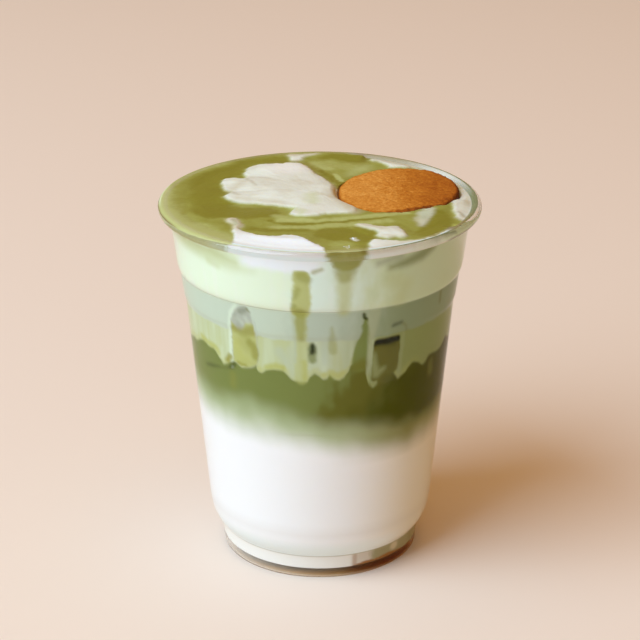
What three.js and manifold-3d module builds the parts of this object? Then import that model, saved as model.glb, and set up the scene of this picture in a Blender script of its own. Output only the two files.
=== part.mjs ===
// An iced matcha latte in a clear plastic cold cup, filled level with its rim: white milk at the
// bottom, dark green matcha on it, a cloudy layer that runs down into the matcha in streaks, a cap
// of whipped cream, and a round biscuit lying in the cream. The cup stands on z = 0, its axis is Z,
// and the side that faces -Y carries the widest streaks. All sizes are in millimetres.
import * as THREE from 'three';
import { mergeVertices } from 'three/addons/utils/BufferGeometryUtils.js';
import Module from 'manifold-3d';

// Driving dimensions of the cup.
const cupHeight = 113;
const rimRadius = 49;
const footRadius = 30.5;
const wall = 0.6;
const gap = 0.3;

// Levels of the cup's features, from the table up. The floor is drawn up in a low dome.
const floorLevel = 2.9;
const floorThickness = 0.6;
const dome = { radius: 24, rise: 1.2, shares: [0, 0.45, 0.75, 1] };
const footTop = 7.2;
const footRing = { inner: 28.9, outer: 30.1, round: 0.5, flare: 0.4 };
const cornerStart = { r: 31.3, z: 8.0 };
const cornerPull = { r: 34.3, z: 11.0 };
const cornerEnd = { r: 34.8, z: 16.3 };
const lowerShoulder = { rBelow: 41.2, zBelow: 83.1, rAbove: 41.75, zAbove: 84.6 };
const upperShoulder = { rBelow: 42.85, zBelow: 92.6, rAbove: 43.8, zAbove: 95.6 };
// Where the upper shoulder bulges: its share of the way out, and of the way up.
const shoulderBulge = { out: 0.62, up: 0.36 };
const neck = { r: 45.65, z: 109.7 };
// The rolled rim, an ellipse in section, open to the neck below it.
const beadHalf = { width: 1.5, height: 1.45 };
const bead = { r: rimRadius - beadHalf.width, z: cupHeight - beadHalf.height, from: -128, to: 168 };

// Levels of the layers in the drink.
const milkTop = 50.5;
const streakLevel = 71.5;
const creamBase = upperShoulder.zBelow;
const creamEdge = 112.2;

// How finely the round shapes are cut.
const cupSegments = 56;
const drinkSegments = 96;
const creamSegments = 92;
const cornerSteps = 3;
const beadSteps = 8;

// The biscuit: a disc that lies in the cream, a little higher at the back and on the left.
const biscuit = {
  radius: 18.5, thickness: 4.6, edgeRound: 1.3, dome: 0.5,
  x: 23.8, y: 6.4, top: 114.2, tiltBack: 3.2, tiltRight: 1.6, segments: 38,
};

// Mounds of cream that stand above the level, each a ridge between two points.
const mounds = [
  { from: [-12, 28], to: [-4, 8], width: 13, height: 1.5 },
  { from: [-18, 12], to: [-2, -3], width: 11, height: 1.4 },
  { from: [-26, 15.5], to: [-14, 10], width: 5.5, height: 1.0 },
  { from: [-26.5, 1], to: [-12, 2], width: 4.5, height: 0.9 },
  { from: [-3, -10], to: [7, -8], width: 7, height: 0.9 },
  { from: [-22, -39], to: [-5, -41], width: 7, height: 0.9 },
  { from: [14, -27], to: [22, -31], width: 4.5, height: 0.8 },
  { from: [17, -41], to: [28, -38], width: 4.5, height: 0.8 },
  { from: [31, -12], to: [42, -3], width: 4, height: 1.1 },
  { from: [20, 36], to: [31, 29], width: 4.5, height: 0.7 },
];

// Tongues of the cloudy layer that run down the wall into the matcha, by their angle from the near
// side, towards the right, in degrees: half their width, and how far they reach below the level.
const tongues = [
  { at: -72, half: 7, drop: -1.6 }, { at: -56, half: 9, drop: -2.6 }, { at: -45, half: 4, drop: 1.4 },
  { at: -34, half: 5, drop: -1.2 }, { at: -25, half: 3.5, drop: 1.2 }, { at: -17, half: 4, drop: -1.6 },
  { at: -8, half: 5, drop: 1.6 }, { at: 4, half: 5, drop: 0.8 }, { at: 17.5, half: 4, drop: -8.5 },
  { at: 23.2, half: 2.8, drop: 4.6 }, { at: 30, half: 4.6, drop: -1.8 }, { at: 37.5, half: 2.8, drop: 3.4 },
  { at: 47, half: 6, drop: -1.8 }, { at: 57, half: 3.6, drop: 5.0 }, { at: 70, half: 7, drop: -2.4 },
  { at: 86, half: 5, drop: 3.2 }, { at: 101, half: 6, drop: -3.2 }, { at: 113, half: 4, drop: 4.4 },
  { at: 127, half: 6, drop: -2.0 }, { at: 141, half: 4.5, drop: 3.8 }, { at: 156, half: 6, drop: -5.0 },
  { at: 170, half: 4, drop: 4.6 }, { at: 184, half: 6, drop: -2.2 }, { at: 198, half: 4.5, drop: 3.4 },
  { at: 214, half: 6, drop: -4.4 }, { at: 230, half: 4, drop: 4.2 }, { at: 247, half: 6, drop: -2.6 },
  { at: 265, half: 5, drop: 2.8 },
];
// The tongues lie on the wall: further in than this share of the way to it, the surface is level.
const tongueDepth = { inner: 0.78, outer: 0.94 };
// The shares of the way to the wall at which each surface in the drink has its points.
const milkShares = [0.35, 0.7, 1];
const streakShares = [0.78, 0.86, 0.94, 1];

// The top of the cream: how far it swells inside the rim, where it starts to and where it is full,
// how much of a mound is left where it is pressed down at the rim, and how deep it is stirred.
const swell = { height: 0.5, from: 45.4, full: 38, atRim: 0.35, stirred: 0.16 };
const creamRadii = [43, 40, 36, 31, 26, 20.5, 14.5, 7.5];

const radians = THREE.MathUtils.degToRad;
const degrees = THREE.MathUtils.radToDeg;
const point = (r, z) => new THREE.Vector2(r, z);

// The bottom corner of the cup, one curve from the foot to the straight wall.
function cornerCurve() {
  const ends = [cornerStart, cornerPull, cornerEnd].map((p) => point(p.r, p.z));
  return new THREE.QuadraticBezierCurve(...ends).getPoints(cornerSteps);
}

// The outside of the wall, from above the foot to the neck under the rim.
function outerWall() {
  const lower = lowerShoulder;
  const upper = upperShoulder;
  const between = THREE.MathUtils.lerp;
  return [
    ...cornerCurve(),
    point(lower.rBelow, lower.zBelow),
    point(lower.rAbove, lower.zAbove),
    point(upper.rBelow, upper.zBelow),
    point(
      between(upper.rBelow, upper.rAbove, shoulderBulge.out),
      between(upper.zBelow, upper.zAbove, shoulderBulge.up)),
    point(upper.rAbove, upper.zAbove),
    point(neck.r, neck.z),
  ];
}

// The inside of the same wall, a wall thickness further in.
const innerWall = () => outerWall().map((p) => point(p.x - wall, p.y));

// The radius of the inside of the cup at a height, down to the bottom of its corner.
function innerRadius(z) {
  const line = innerWall();
  if (z <= line[0].y) return line[0].x;
  for (let i = 1; i < line.length; i += 1) {
    const [a, b] = [line[i - 1], line[i]];
    if (z <= b.y) return a.x + (b.x - a.x) * (z - a.y) / (b.y - a.y);
  }
  return line[line.length - 1].x;
}

// The rolled rim: the arc from where it leaves the neck outside, over the top, to its inner edge.
function beadArc() {
  const arc = new THREE.EllipseCurve(
    bead.r, bead.z, beadHalf.width, beadHalf.height, radians(bead.from), radians(bead.to));
  return arc.getPoints(beadSteps);
}

// A profile of (radius, height) points, from the axis round the material and back to it, turned
// about Z. three.js turns about its own Y, so the result is tipped up.
function turned(profile, segments) {
  return new THREE.LatheGeometry(profile, segments).rotateX(Math.PI / 2);
}

// The profile of the domed floor at a level, from the axis out.
function floorProfile(level) {
  return dome.shares.map((share) => point(share * dome.radius, level + dome.rise * (1 - share ** 2)));
}

// The inside of the foot, where its wall stands on the floor: its lower and its upper end.
const footInside = (clear) => [
  point(footRing.outer - wall - clear, floorLevel + clear),
  point(footRadius + footRing.flare - wall - clear, footTop),
];

function cupGeometry() {
  const skirt = [
    point(footRing.inner - footRing.round, floorLevel - floorThickness),
    point(footRing.inner, 0),
    point(footRing.outer, 0),
    point(footRadius, footRing.round),
    point(footRadius + footRing.flare, footTop),
  ];
  const profile = [
    ...floorProfile(floorLevel - floorThickness), ...skirt, ...outerWall(), ...beadArc(),
    ...innerWall().reverse(), ...footInside(0).reverse(), ...floorProfile(floorLevel).reverse(),
  ];
  return turned(profile, cupSegments);
}

// A closed solid of rings: each ring is a list of points round the axis, the first and the last
// ring are closed by one point each, and the rings run from the bottom centre over the outside.
// Where two rings lead inwards, the quads are split the other way, so that the lid of one layer and
// the underside of the next are cut alike and stay apart.
function ringSolid(bottomCentre, rings, topCentre) {
  const count = rings[0].length;
  const vertices = [bottomCentre, ...rings.flat(), topCentre];
  const top = vertices.length - 1;
  const at = (ringIndex, i) => 1 + ringIndex * count + (i % count);
  const reach = (points) => Math.hypot(points[0][0], points[0][1]);
  const faces = [];
  for (let i = 0; i < count; i += 1) {
    faces.push([0, at(0, i + 1), at(0, i)]);
    for (let k = 0; k + 1 < rings.length; k += 1) {
      const [a, b, c, d] = [at(k, i), at(k, i + 1), at(k + 1, i + 1), at(k + 1, i)];
      const inwards = reach(rings[k + 1]) < reach(rings[k]);
      faces.push(...(inwards ? [[a, b, d], [b, c, d]] : [[a, b, c], [a, c, d]]));
    }
    faces.push([at(rings.length - 1, i), at(rings.length - 1, i + 1), top]);
  }
  const geometry = new THREE.BufferGeometry();
  geometry.setAttribute('position', new THREE.Float32BufferAttribute(vertices.flat(), 3));
  geometry.setIndex(faces.flat());
  return geometry;
}

// One ring: the radius and the height are functions of the angle. Angles start at the near side,
// which faces -Y, and turn towards +X.
function ring(segments, radius, height) {
  return Array.from({ length: segments }, (_, i) => {
    const angle = 2 * Math.PI * i / segments;
    const r = radius(angle);
    return [r * Math.sin(angle), -r * Math.cos(angle), height(angle)];
  });
}

const levelRing = (segments, r, z) => ring(segments, () => r, () => z);

// A smooth step from 0 to 1 between two values.
const smooth = (x, low, high) => THREE.MathUtils.smoothstep(x, low, high);

// The surface between milk and matcha, a slow swell. A share is the distance from the axis as a
// part of the way to the wall.
const milkSurface = (angle, share) => milkTop + smooth(share, 0.25, 0.95)
  * (0.7 * Math.sin(2 * angle + 0.6) + 0.5 * Math.sin(5 * angle + 2.1) - 0.8 * Math.cos(angle - 2.0));

// How far the cloudy layer reaches down the wall at an angle: rounded tongues of it, and peaks of
// matcha between them.
function streak(angle) {
  let drop = 0;
  for (const tongue of tongues) {
    const turn = Math.abs((degrees(angle) - tongue.at + 540) % 360 - 180);
    if (turn < tongue.half) {
      drop += tongue.drop * (0.5 + 0.5 * Math.cos(Math.PI * turn / tongue.half));
    }
  }
  return drop;
}

const streakSurface = (angle, share) => streakLevel
  - smooth(share, tongueDepth.inner, tongueDepth.outer) * streak(angle);

// The rings of a surface in the drink, raised by some height, at each share of the way to the wall.
function surfaceRings(surface, shares, by) {
  return shares.map((share) => ring(drinkSegments,
    (angle) => share * (innerRadius(surface(angle, 1) + by) - gap),
    (angle) => surface(angle, share) + by));
}

function milkGeometry() {
  const [centre, ...bottom] = floorProfile(floorLevel + gap);
  const corner = cornerCurve().map((p) => point(p.x - wall - gap, p.y));
  const outside = [...bottom, ...footInside(gap), ...corner];
  const rings = [
    ...outside.map((p) => levelRing(drinkSegments, p.x, p.y)),
    ...surfaceRings(milkSurface, milkShares, 0).reverse(),
  ];
  return ringSolid([0, 0, centre.y], rings, [0, 0, milkTop]);
}

function matchaGeometry() {
  const rings = [
    ...surfaceRings(milkSurface, milkShares, gap),
    ...surfaceRings(streakSurface, streakShares, 0).reverse(),
  ];
  return ringSolid([0, 0, milkTop + gap], rings, [0, 0, streakLevel]);
}

function cloudyGeometry() {
  const top = creamBase - gap;
  const rings = [
    ...surfaceRings(streakSurface, streakShares, gap),
    ...[lowerShoulder.zBelow, lowerShoulder.zAbove, top].map(
      (z) => levelRing(drinkSegments, innerRadius(z) - gap, z)),
  ];
  return ringSolid([0, 0, streakLevel + gap], rings, [0, 0, top]);
}

// The height that a mound gives at a point, falling smoothly to nothing at its width.
function moundHeight(mound, x, y) {
  const [ax, ay] = mound.from;
  const [bx, by] = mound.to;
  const length2 = (bx - ax) ** 2 + (by - ay) ** 2;
  const along = THREE.MathUtils.clamp(((x - ax) * (bx - ax) + (y - ay) * (by - ay)) / length2, 0, 1);
  const away = Math.hypot(x - ax - along * (bx - ax), y - ay - along * (by - ay));
  return mound.height * (1 - smooth(away, mound.width * 0.35, mound.width));
}

// The top of the cream: level with the rim at the wall, and uneven where it was spooned on.
function creamSurface(angle, r) {
  const x = r * Math.sin(angle);
  const y = -r * Math.cos(angle);
  const inside = 1 - smooth(r, swell.full, swell.from);
  const mound = Math.max(...mounds.map((each) => moundHeight(each, x, y)));
  const stirred = Math.sin(0.33 * x - 0.21 * y + 2.2 * Math.sin(0.11 * y)) + Math.sin(0.29 * y);
  return creamEdge + (swell.height + swell.stirred * stirred) * inside
    + mound * THREE.MathUtils.lerp(swell.atRim, 1, inside);
}

// The biscuit's profile, a flat disc with round edges, grown by a clearance on every side.
function biscuitProfile(clear) {
  const r = biscuit.radius + clear;
  const half = biscuit.thickness / 2 + clear;
  const round = biscuit.edgeRound;
  const corner = (sign) => [0, 0.5, 1].map((share) => {
    const angle = sign * Math.PI / 2 * (1 - share);
    return point(r - round + round * Math.cos(angle), sign * (half - round) + round * Math.sin(angle));
  });
  return [
    point(0, -half), ...corner(-1),
    ...corner(1).reverse(), point(r * 0.6, half + biscuit.dome * 0.64), point(0, half + biscuit.dome),
  ];
}

// The biscuit in place. Its edge is a little uneven, as a baked one is.
function biscuitGeometry(clear) {
  const geometry = turned(biscuitProfile(clear), biscuit.segments);
  const position = geometry.getAttribute('position');
  for (let i = 0; i < position.count; i += 1) {
    const [x, y] = [position.getX(i), position.getY(i)];
    const angle = Math.atan2(y, x);
    const uneven = 1 + 0.008 * Math.sin(3 * angle + 0.5) + 0.006 * Math.sin(7 * angle + 1.9);
    position.setXY(i, x * uneven, y * uneven);
  }
  geometry.rotateX(radians(biscuit.tiltBack));
  geometry.rotateY(radians(biscuit.tiltRight));
  return geometry.translate(biscuit.x, biscuit.y, biscuit.top - biscuit.thickness / 2);
}

const wasm = await Module();
wasm.setup();

// A closed geometry as a manifold-3d solid, with its shared vertices merged.
function solidOf(geometry) {
  const bare = geometry.clone();
  bare.deleteAttribute('normal');
  bare.deleteAttribute('uv');
  const merged = mergeVertices(bare, 1e-4);
  return new wasm.Manifold(new wasm.Mesh({
    numProp: 3,
    vertProperties: merged.attributes.position.array,
    triVerts: new Uint32Array(merged.index.array),
  }));
}

function geometryOf(solid) {
  const mesh = solid.getMesh();
  const geometry = new THREE.BufferGeometry();
  geometry.setAttribute('position', new THREE.BufferAttribute(mesh.vertProperties, 3));
  geometry.setIndex(new THREE.BufferAttribute(mesh.triVerts, 1));
  return geometry;
}

// The cream: it fills the cup from the cloudy layer to the rim, and the biscuit lies in a dent.
function creamGeometry() {
  const edgeRadius = bead.r - beadHalf.width - gap;
  const side = [creamBase, upperShoulder.zAbove, neck.z];
  const rings = [
    ...side.map((z) => levelRing(creamSegments, innerRadius(z) - gap, z)),
    ...[edgeRadius, ...creamRadii].map(
      (r) => ring(creamSegments, () => r, (angle) => creamSurface(angle, r))),
  ];
  const full = ringSolid([0, 0, creamBase], rings, [0, 0, creamSurface(0, 0)]);
  return geometryOf(solidOf(full).subtract(solidOf(biscuitGeometry(gap))));
}

const materials = {
  clearPlastic: new THREE.MeshStandardMaterial({
    color: 0xf4f7f4, roughness: 0.06, metalness: 0, transparent: true, opacity: 0.3 }),
  milk: new THREE.MeshStandardMaterial({ color: 0xf6f5f1, roughness: 0.35, metalness: 0 }),
  matcha: new THREE.MeshStandardMaterial({ color: 0x6f7438, roughness: 0.35, metalness: 0 }),
  cloudy: new THREE.MeshStandardMaterial({ color: 0xc0c9a6, roughness: 0.35, metalness: 0 }),
  cream: new THREE.MeshStandardMaterial({ color: 0xdfe6c8, roughness: 0.5, metalness: 0 }),
  biscuit: new THREE.MeshStandardMaterial({ color: 0xc4802f, roughness: 0.85, metalness: 0 }),
};

const latte = new THREE.Group();

function add(name, geometry, material) {
  const mesh = new THREE.Mesh(geometry, material);
  mesh.name = name;
  latte.add(mesh);
}

add('cup', cupGeometry(), materials.clearPlastic);
add('milk', milkGeometry(), materials.milk);
add('matcha', matchaGeometry(), materials.matcha);
add('cloudy_layer', cloudyGeometry(), materials.cloudy);
add('cream', creamGeometry(), materials.cream);
add('biscuit', biscuitGeometry(0), materials.biscuit);

export default latte;
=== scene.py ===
"""Dresses the construction model of an iced matcha latte: the clear cup, the layers of the drink, the
ice at the wall, the whipped cream marbled with green tea, and the biscuit."""

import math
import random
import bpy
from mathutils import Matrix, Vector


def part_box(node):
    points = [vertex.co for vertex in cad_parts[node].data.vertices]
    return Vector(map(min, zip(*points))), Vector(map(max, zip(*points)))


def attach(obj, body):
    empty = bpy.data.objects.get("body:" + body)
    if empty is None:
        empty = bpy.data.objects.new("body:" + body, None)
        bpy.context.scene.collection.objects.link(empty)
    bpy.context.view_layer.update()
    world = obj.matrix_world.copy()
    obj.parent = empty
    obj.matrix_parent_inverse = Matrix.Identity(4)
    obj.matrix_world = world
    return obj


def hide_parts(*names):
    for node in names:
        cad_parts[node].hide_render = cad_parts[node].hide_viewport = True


bl_info = {
    "name": "Iced matcha latte",
    "version": (1, 0, 0),
    "blender": (4, 5, 0),
    "location": "3D View > Sidebar > Latte",
    "description": "Models an iced matcha latte in a clear cold cup around its construction model",
    "category": "Object",
}

from collections import namedtuple

import bpy
import numpy as np
from bpy.props import FloatProperty, FloatVectorProperty, IntProperty, PointerProperty
from mathutils import Vector, noise

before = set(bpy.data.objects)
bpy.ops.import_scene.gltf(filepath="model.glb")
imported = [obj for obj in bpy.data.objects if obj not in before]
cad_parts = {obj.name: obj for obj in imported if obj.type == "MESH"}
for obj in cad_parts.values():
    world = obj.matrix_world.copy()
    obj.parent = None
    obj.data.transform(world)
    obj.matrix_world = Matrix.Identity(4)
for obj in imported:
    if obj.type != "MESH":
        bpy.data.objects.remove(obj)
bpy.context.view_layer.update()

MM = 0.001
BODY = "root"


# Sizes that come from the frame

def node_points(node):
    """The corners of a construction node's mesh, in millimetres."""
    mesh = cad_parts[node].data
    points = np.empty(len(mesh.vertices) * 3)
    mesh.vertices.foreach_get("co", points)
    return points.reshape(-1, 3) / MM


def outer_wall():
    """The outside of the cup from its foot to its neck, as (radius, height) in millimetres."""
    points = node_points("cup")
    radii = np.hypot(points[:, 0], points[:, 1])
    levels = np.round(points[:, 2], 2)
    wall = []
    for level in np.unique(levels):
        radius = radii[levels == level].max()
        if level <= NECK_LEVEL and (not wall or radius > wall[-1][0]):
            wall.append((float(radius), float(level)))
    return wall


def layer_edge(node, low, high):
    """The heights of a layer's edge at the wall between two levels, for angles round the cup."""
    points = node_points(node)
    radii = np.hypot(points[:, 0], points[:, 1])
    at_wall = np.abs(radii - wall_radius(points[:, 2], WALL + GAP)) < 0.15
    at_edge = at_wall & (points[:, 2] > low) & (points[:, 2] < high)
    angles = np.round(wall_angle(points[at_edge, 0], points[at_edge, 1]), 1)
    best = dict(zip(angles, points[at_edge, 2]))
    return np.array(sorted(best)), np.array([best[angle] for angle in sorted(best)])


def wall_angle(x, y):
    """The angle round the cup in degrees, from the near side towards the right."""
    return np.degrees(np.arctan2(x, -y))


def eased(points, reach):
    """A line through (radius, height) points with each of its corners rounded off."""
    line = [points[0]]
    for before, corner, after in zip(points, points[1:], points[2:]):
        corner = np.array(corner)
        ends = []
        for other in (before, after):
            way = np.array(other) - corner
            length = np.hypot(*way)
            ends.append(corner + way * min(reach / length, 0.45))
        for share in np.linspace(0, 1, 5):
            bent = (1 - share) ** 2 * ends[0] + 2 * share * (1 - share) * corner + share ** 2 * ends[1]
            line.append((float(bent[0]), float(bent[1])))
    line.append(points[-1])
    return line


# Sizes of the cup's sheet, in millimetres
WALL = 0.6
GAP = 0.3
INTO_WALL = 0.15
NECK_LEVEL = 109.8
FLOOR_LEVEL = 2.9
FLOOR_RADIUS = 24.0
FLOOR_RISE = 1.2
FLOOR_RINGS = (0, 6, 11, 16, 20, 24)
FOOT_HOLLOW = [(30.35, 6.8), (29.6, 0.9), (29.5, 0.55), (29.2, 0.55)]
INSIDE_FROM = 7.6
BEAD_TURNS = (-128, 168)
CUP_STEPS = 256
CORNER_EASE = 1.1
FOOT_LINE = 7.5
CORNER_LINE = 16.3
OUTSIDE = eased(outer_wall(), CORNER_EASE)
FOOT = OUTSIDE[0]
RIM_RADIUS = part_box("cup")[1][0] / MM
CUP_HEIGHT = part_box("cup")[1][2] / MM
BEAD_HALF_WIDTH = 1.5
BEAD_HALF_HEIGHT = 1.45
BEAD_RADIUS = RIM_RADIUS - BEAD_HALF_WIDTH
BEAD_LEVEL = CUP_HEIGHT - BEAD_HALF_HEIGHT


def wall_radius(level, inset=WALL - INTO_WALL):
    """The radius of the cup's wall at a height, an inset in from its outside."""
    line = np.array([(r, z) for r, z in OUTSIDE if z > 0.4] + [(BEAD_RADIUS - 0.85, CUP_HEIGHT)])
    return np.interp(level, line[:, 1], line[:, 0]) - inset


# Levels of the layers, and where the cream's top begins and how high it stands at the rim
STREAK_ANGLES, STREAK_LEVELS = layer_edge("cloudy_layer", 60, 82)
MILK_ANGLES, MILK_LEVELS = layer_edge("milk", 40, 60)
MILK_TOP = 50.5
MATCHA_TOP = 71.5
MILK_ROWS = [9.6, 10.8, 12.2, 14, CORNER_LINE, 20, 25, 30, 35, 40, 43]
CREAM_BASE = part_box("cream")[0][2] / MM
CREAM_EDGE = 112.2
CREAM_RADIUS = 45.75
TOP_FROM = 111.5
BRIM_RISE = 0.72


class LatteSettings(bpy.types.PropertyGroup):
    """Sizes of the latte that a user would change."""

    round_steps: IntProperty(
        name="Steps round", description="How many steps the drink's layers have round the cup",
        default=600, min=90, max=720)
    biscuit_size: FloatProperty(
        name="Biscuit", description="The biscuit's width", default=36.8 * MM, unit="LENGTH")
    cube_size: FloatProperty(
        name="Ice cube", description="The length of an ice cube's side", default=21 * MM, unit="LENGTH")


def linear(text):
    """A colour given as an sRGB hex value, turned linear."""
    values = [int(text[i:i + 2], 16) / 255 for i in (1, 3, 5)]
    return np.array([v / 12.92 if v <= 0.04045 else ((v + 0.055) / 1.055) ** 2.4 for v in values])


def swatch(name, description, text):
    """A colour that a user would change, from its sRGB hex value."""
    return FloatVectorProperty(name=name, description=description, subtype="COLOR", size=3, min=0, max=1,
                               default=tuple(linear(text)))


class LatteColours(bpy.types.PropertyGroup):
    """Colours of the drink, the cream and the ice, with painted light and shade among them."""

    milk: swatch("Milk", "Whole milk", "#f7f7f3")
    # Painted cool light
    milk_cool_light: swatch("Milk cool", "Milk round the cup's corner", "#eef7f3")
    # Painted warm bounce light from the table
    milk_warm_light: swatch("Milk warm", "Milk lit by the warm table, right", "#e4d5b0")
    milk_grey: swatch("Milk grey", "Milk where the foot shades it", "#c0b098")
    # Painted shadow: the table in the cup's shade, seen through the foot
    foot_table_shadow: swatch("Foot brown", "The table's colour in the foot's hollow", "#a4703a")
    # Painted shade: greenish milk at the foot, right, and along the foot's step
    milk_green_shade: swatch("Milk green", "Milk with a little tea in it at the foot", "#a09868")
    cream: swatch("Cream", "Whipped cream", "#f3f2ec")
    # Painted cool light on the cream
    cream_cool_light: swatch("Cream cool", "Whipped cream pressed against the wall", "#f2f8f8")
    cream_top: swatch("Cream top", "Whipped cream on the top", "#e1e4d5")
    # Painted shade in the cream's hollows and along the edges of its white lobes
    cream_warm_shade: swatch("Cream warm", "Whipped cream in its hollows", "#c9c0a2")
    cream_left: swatch("Cream left", "Cream at the wall, left", "#e7f6d8")
    cream_near: swatch("Cream near", "Cream at the wall, near side", "#e2f3e2")
    # Painted shade on the right side
    cream_right_shade: swatch("Cream right", "Cream at the wall, right", "#cbdcb4")
    cream_shade: swatch("Cream shade", "Cream with tea in it", "#c3cd90")
    # Painted shade in the cream's creases
    crease_shade: swatch("Crease", "Creases in the cream", "#a0946c")
    band_left: swatch("Band left", "Milky band, left", "#c6d4bd")
    band_near: swatch("Band near", "Milky band, near side", "#bac8b3")
    # Painted shade on the right side
    band_right_shade: swatch("Band right", "Milky band, right", "#90a07c")
    cloudy_left: swatch("Cloudy left", "Cloudy layer, left", "#c3cda0")
    cloudy_near: swatch("Cloudy near", "Cloudy layer, near side", "#c0cba8")
    # Painted shade on the right side
    cloudy_right_shade: swatch("Cloudy right", "Cloudy layer, right", "#8f9c60")
    pale: swatch("Pale", "Palest streaks", "#dcebd0")
    # Painted shade on the right side
    pale_right_shade: swatch("Pale right", "Palest streaks, right", "#b0bb96")
    fringe: swatch("Fringe", "Edge of the cloudy tongues", "#b7bb66")
    fringe_dark: swatch("Fringe dark", "Darker edge of the cloudy tongues", "#98943f")
    tea_left: swatch("Tea left", "Matcha, left and far side", "#7a8446")
    tea_near: swatch("Tea near", "Matcha, near side", "#696a28")
    # Painted shade on the right side
    tea_right_shade: swatch("Tea right", "Matcha, right", "#4d5004")
    tea_thin: swatch("Tea thin", "Matcha thinned with milk", "#b4c095")
    # Painted shade on the right side
    tea_thin_right_shade: swatch("Tea thin right", "Matcha thinned with milk, right", "#8d8c52")
    paste_light: swatch("Paste light", "Cream with a little matcha", "#b8bf79")
    paste: swatch("Paste", "Cream with matcha", "#9a9b49")
    paste_dark: swatch("Paste dark", "Cream with most matcha", "#86822c")
    drip: swatch("Drip", "Drips down the cream", "#b9be70")
    drip_dark: swatch("Drip dark", "Drips' darker edges", "#9a9c4c")
    olive: swatch("Olive", "Olive green", "#98994a")
    olive_dark: swatch("Olive dark", "Dark olive green", "#76762e")
    green: swatch("Green", "Leaf green", "#7c8a48")
    green_pale: swatch("Green pale", "Pale leaf green", "#939e66")
    ice: swatch("Ice", "Ice seen through the drink", "#aeb39f")
    ice_dark: swatch("Ice dark", "Ice in shade", "#8f957f")
    # Painted shade in the deepest gaps between ice and drink
    gap_shade: swatch("Black green", "Deepest gaps between ice and drink", "#15190a")
    rim_band: swatch("Rim band", "Thin cream over the rim, right", "#6f7a55")
    # On the left it is a painted shadow line at the lip's end
    rim_brown: swatch("Rim brown", "Thin cream over the rim, its ends", "#857849")
    # Painted cool light under the rolled rim
    rim_cool_light: swatch("Rim cool", "Cream behind the rolled rim, near side", "#dff7f8")
    # Painted highlight on the lip, left
    rim_highlight: swatch("Rim pale", "Thin cream over the rim, left", "#dbe8b5")


def hue(name):
    """One of the colours, linear."""
    return np.array(getattr(bpy.context.scene.latte_colours, name))


# Painting in code

def smooth(x, low, high):
    """A smooth step from 0 to 1 between two values, which may also run down."""
    share = np.clip((x - low) / (high - low), 0, 1)
    return share * share * (3 - 2 * share)


def coat(name, count):
    """One colour for each of a number of points."""
    return np.tile(hue(name), (count, 1))


def lay(paint, colour, share):
    """Lays a colour, by name or one for each point, over painted ones by its share at each point."""
    if isinstance(colour, str):
        colour = hue(colour)
    paint += (colour - paint) * np.broadcast_to(share, len(paint))[:, None]


CURVE_STEPS = 5


def curved(points):
    """A closed outline with a smooth curve through its points."""
    points = np.array(points, dtype=float)
    count = len(points)
    line = []
    for i in range(count):
        a, b, c, d = (points[(i + k) % count] for k in (-1, 0, 1, 2))
        for t in np.arange(CURVE_STEPS) / CURVE_STEPS:
            line.append(0.5 * (2 * b + (c - a) * t + (2 * a - 5 * b + 4 * c - d) * t ** 2
                               + (3 * b - 3 * c + d - a) * t ** 3))
    return np.array(line)


def depth_in(x, y, outline):
    """How far inside a closed outline each point lies, below 0 outside it."""
    away = np.full(len(x), 1e9)
    inside = np.zeros(len(x), dtype=bool)
    for (ax, ay), (bx, by) in zip(outline, np.roll(outline, -1, axis=0)):
        run = np.array([bx - ax, by - ay])
        length2 = max(float(run @ run), 1e-9)
        along = np.clip(((x - ax) * run[0] + (y - ay) * run[1]) / length2, 0, 1)
        away = np.minimum(away, np.hypot(x - ax - along * run[0], y - ay - along * run[1]))
        crosses = ((ay > y) != (by > y)) & (x < ax + (y - ay) * run[0] / (by - ay + 1e-12))
        inside ^= crosses
    return np.where(inside, away, -away)


def near_line(x, y, points, widths):
    """The distance to a line less its half width there: below 0 within the stroke."""
    away = np.full(len(x), 1e9)
    for (ax, ay), (bx, by), wide_a, wide_b in zip(points, points[1:], widths, widths[1:]):
        length2 = max((bx - ax) ** 2 + (by - ay) ** 2, 1e-9)
        along = np.clip(((x - ax) * (bx - ax) + (y - ay) * (by - ay)) / length2, 0, 1)
        distance = np.hypot(x - ax - along * (bx - ax), y - ay - along * (by - ay))
        away = np.minimum(away, distance - wide_a - along * (wide_b - wide_a))
    return away


def cloud(x, y, z, size, seed, octaves=3):
    """Even noise between about -1 and 1, with lumps of about the given size in millimetres."""
    points = np.stack([x, y, z], axis=1) / size + seed
    return np.array([noise.fractal(Vector(p), 0.6, 2.0, octaves) for p in points])


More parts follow.
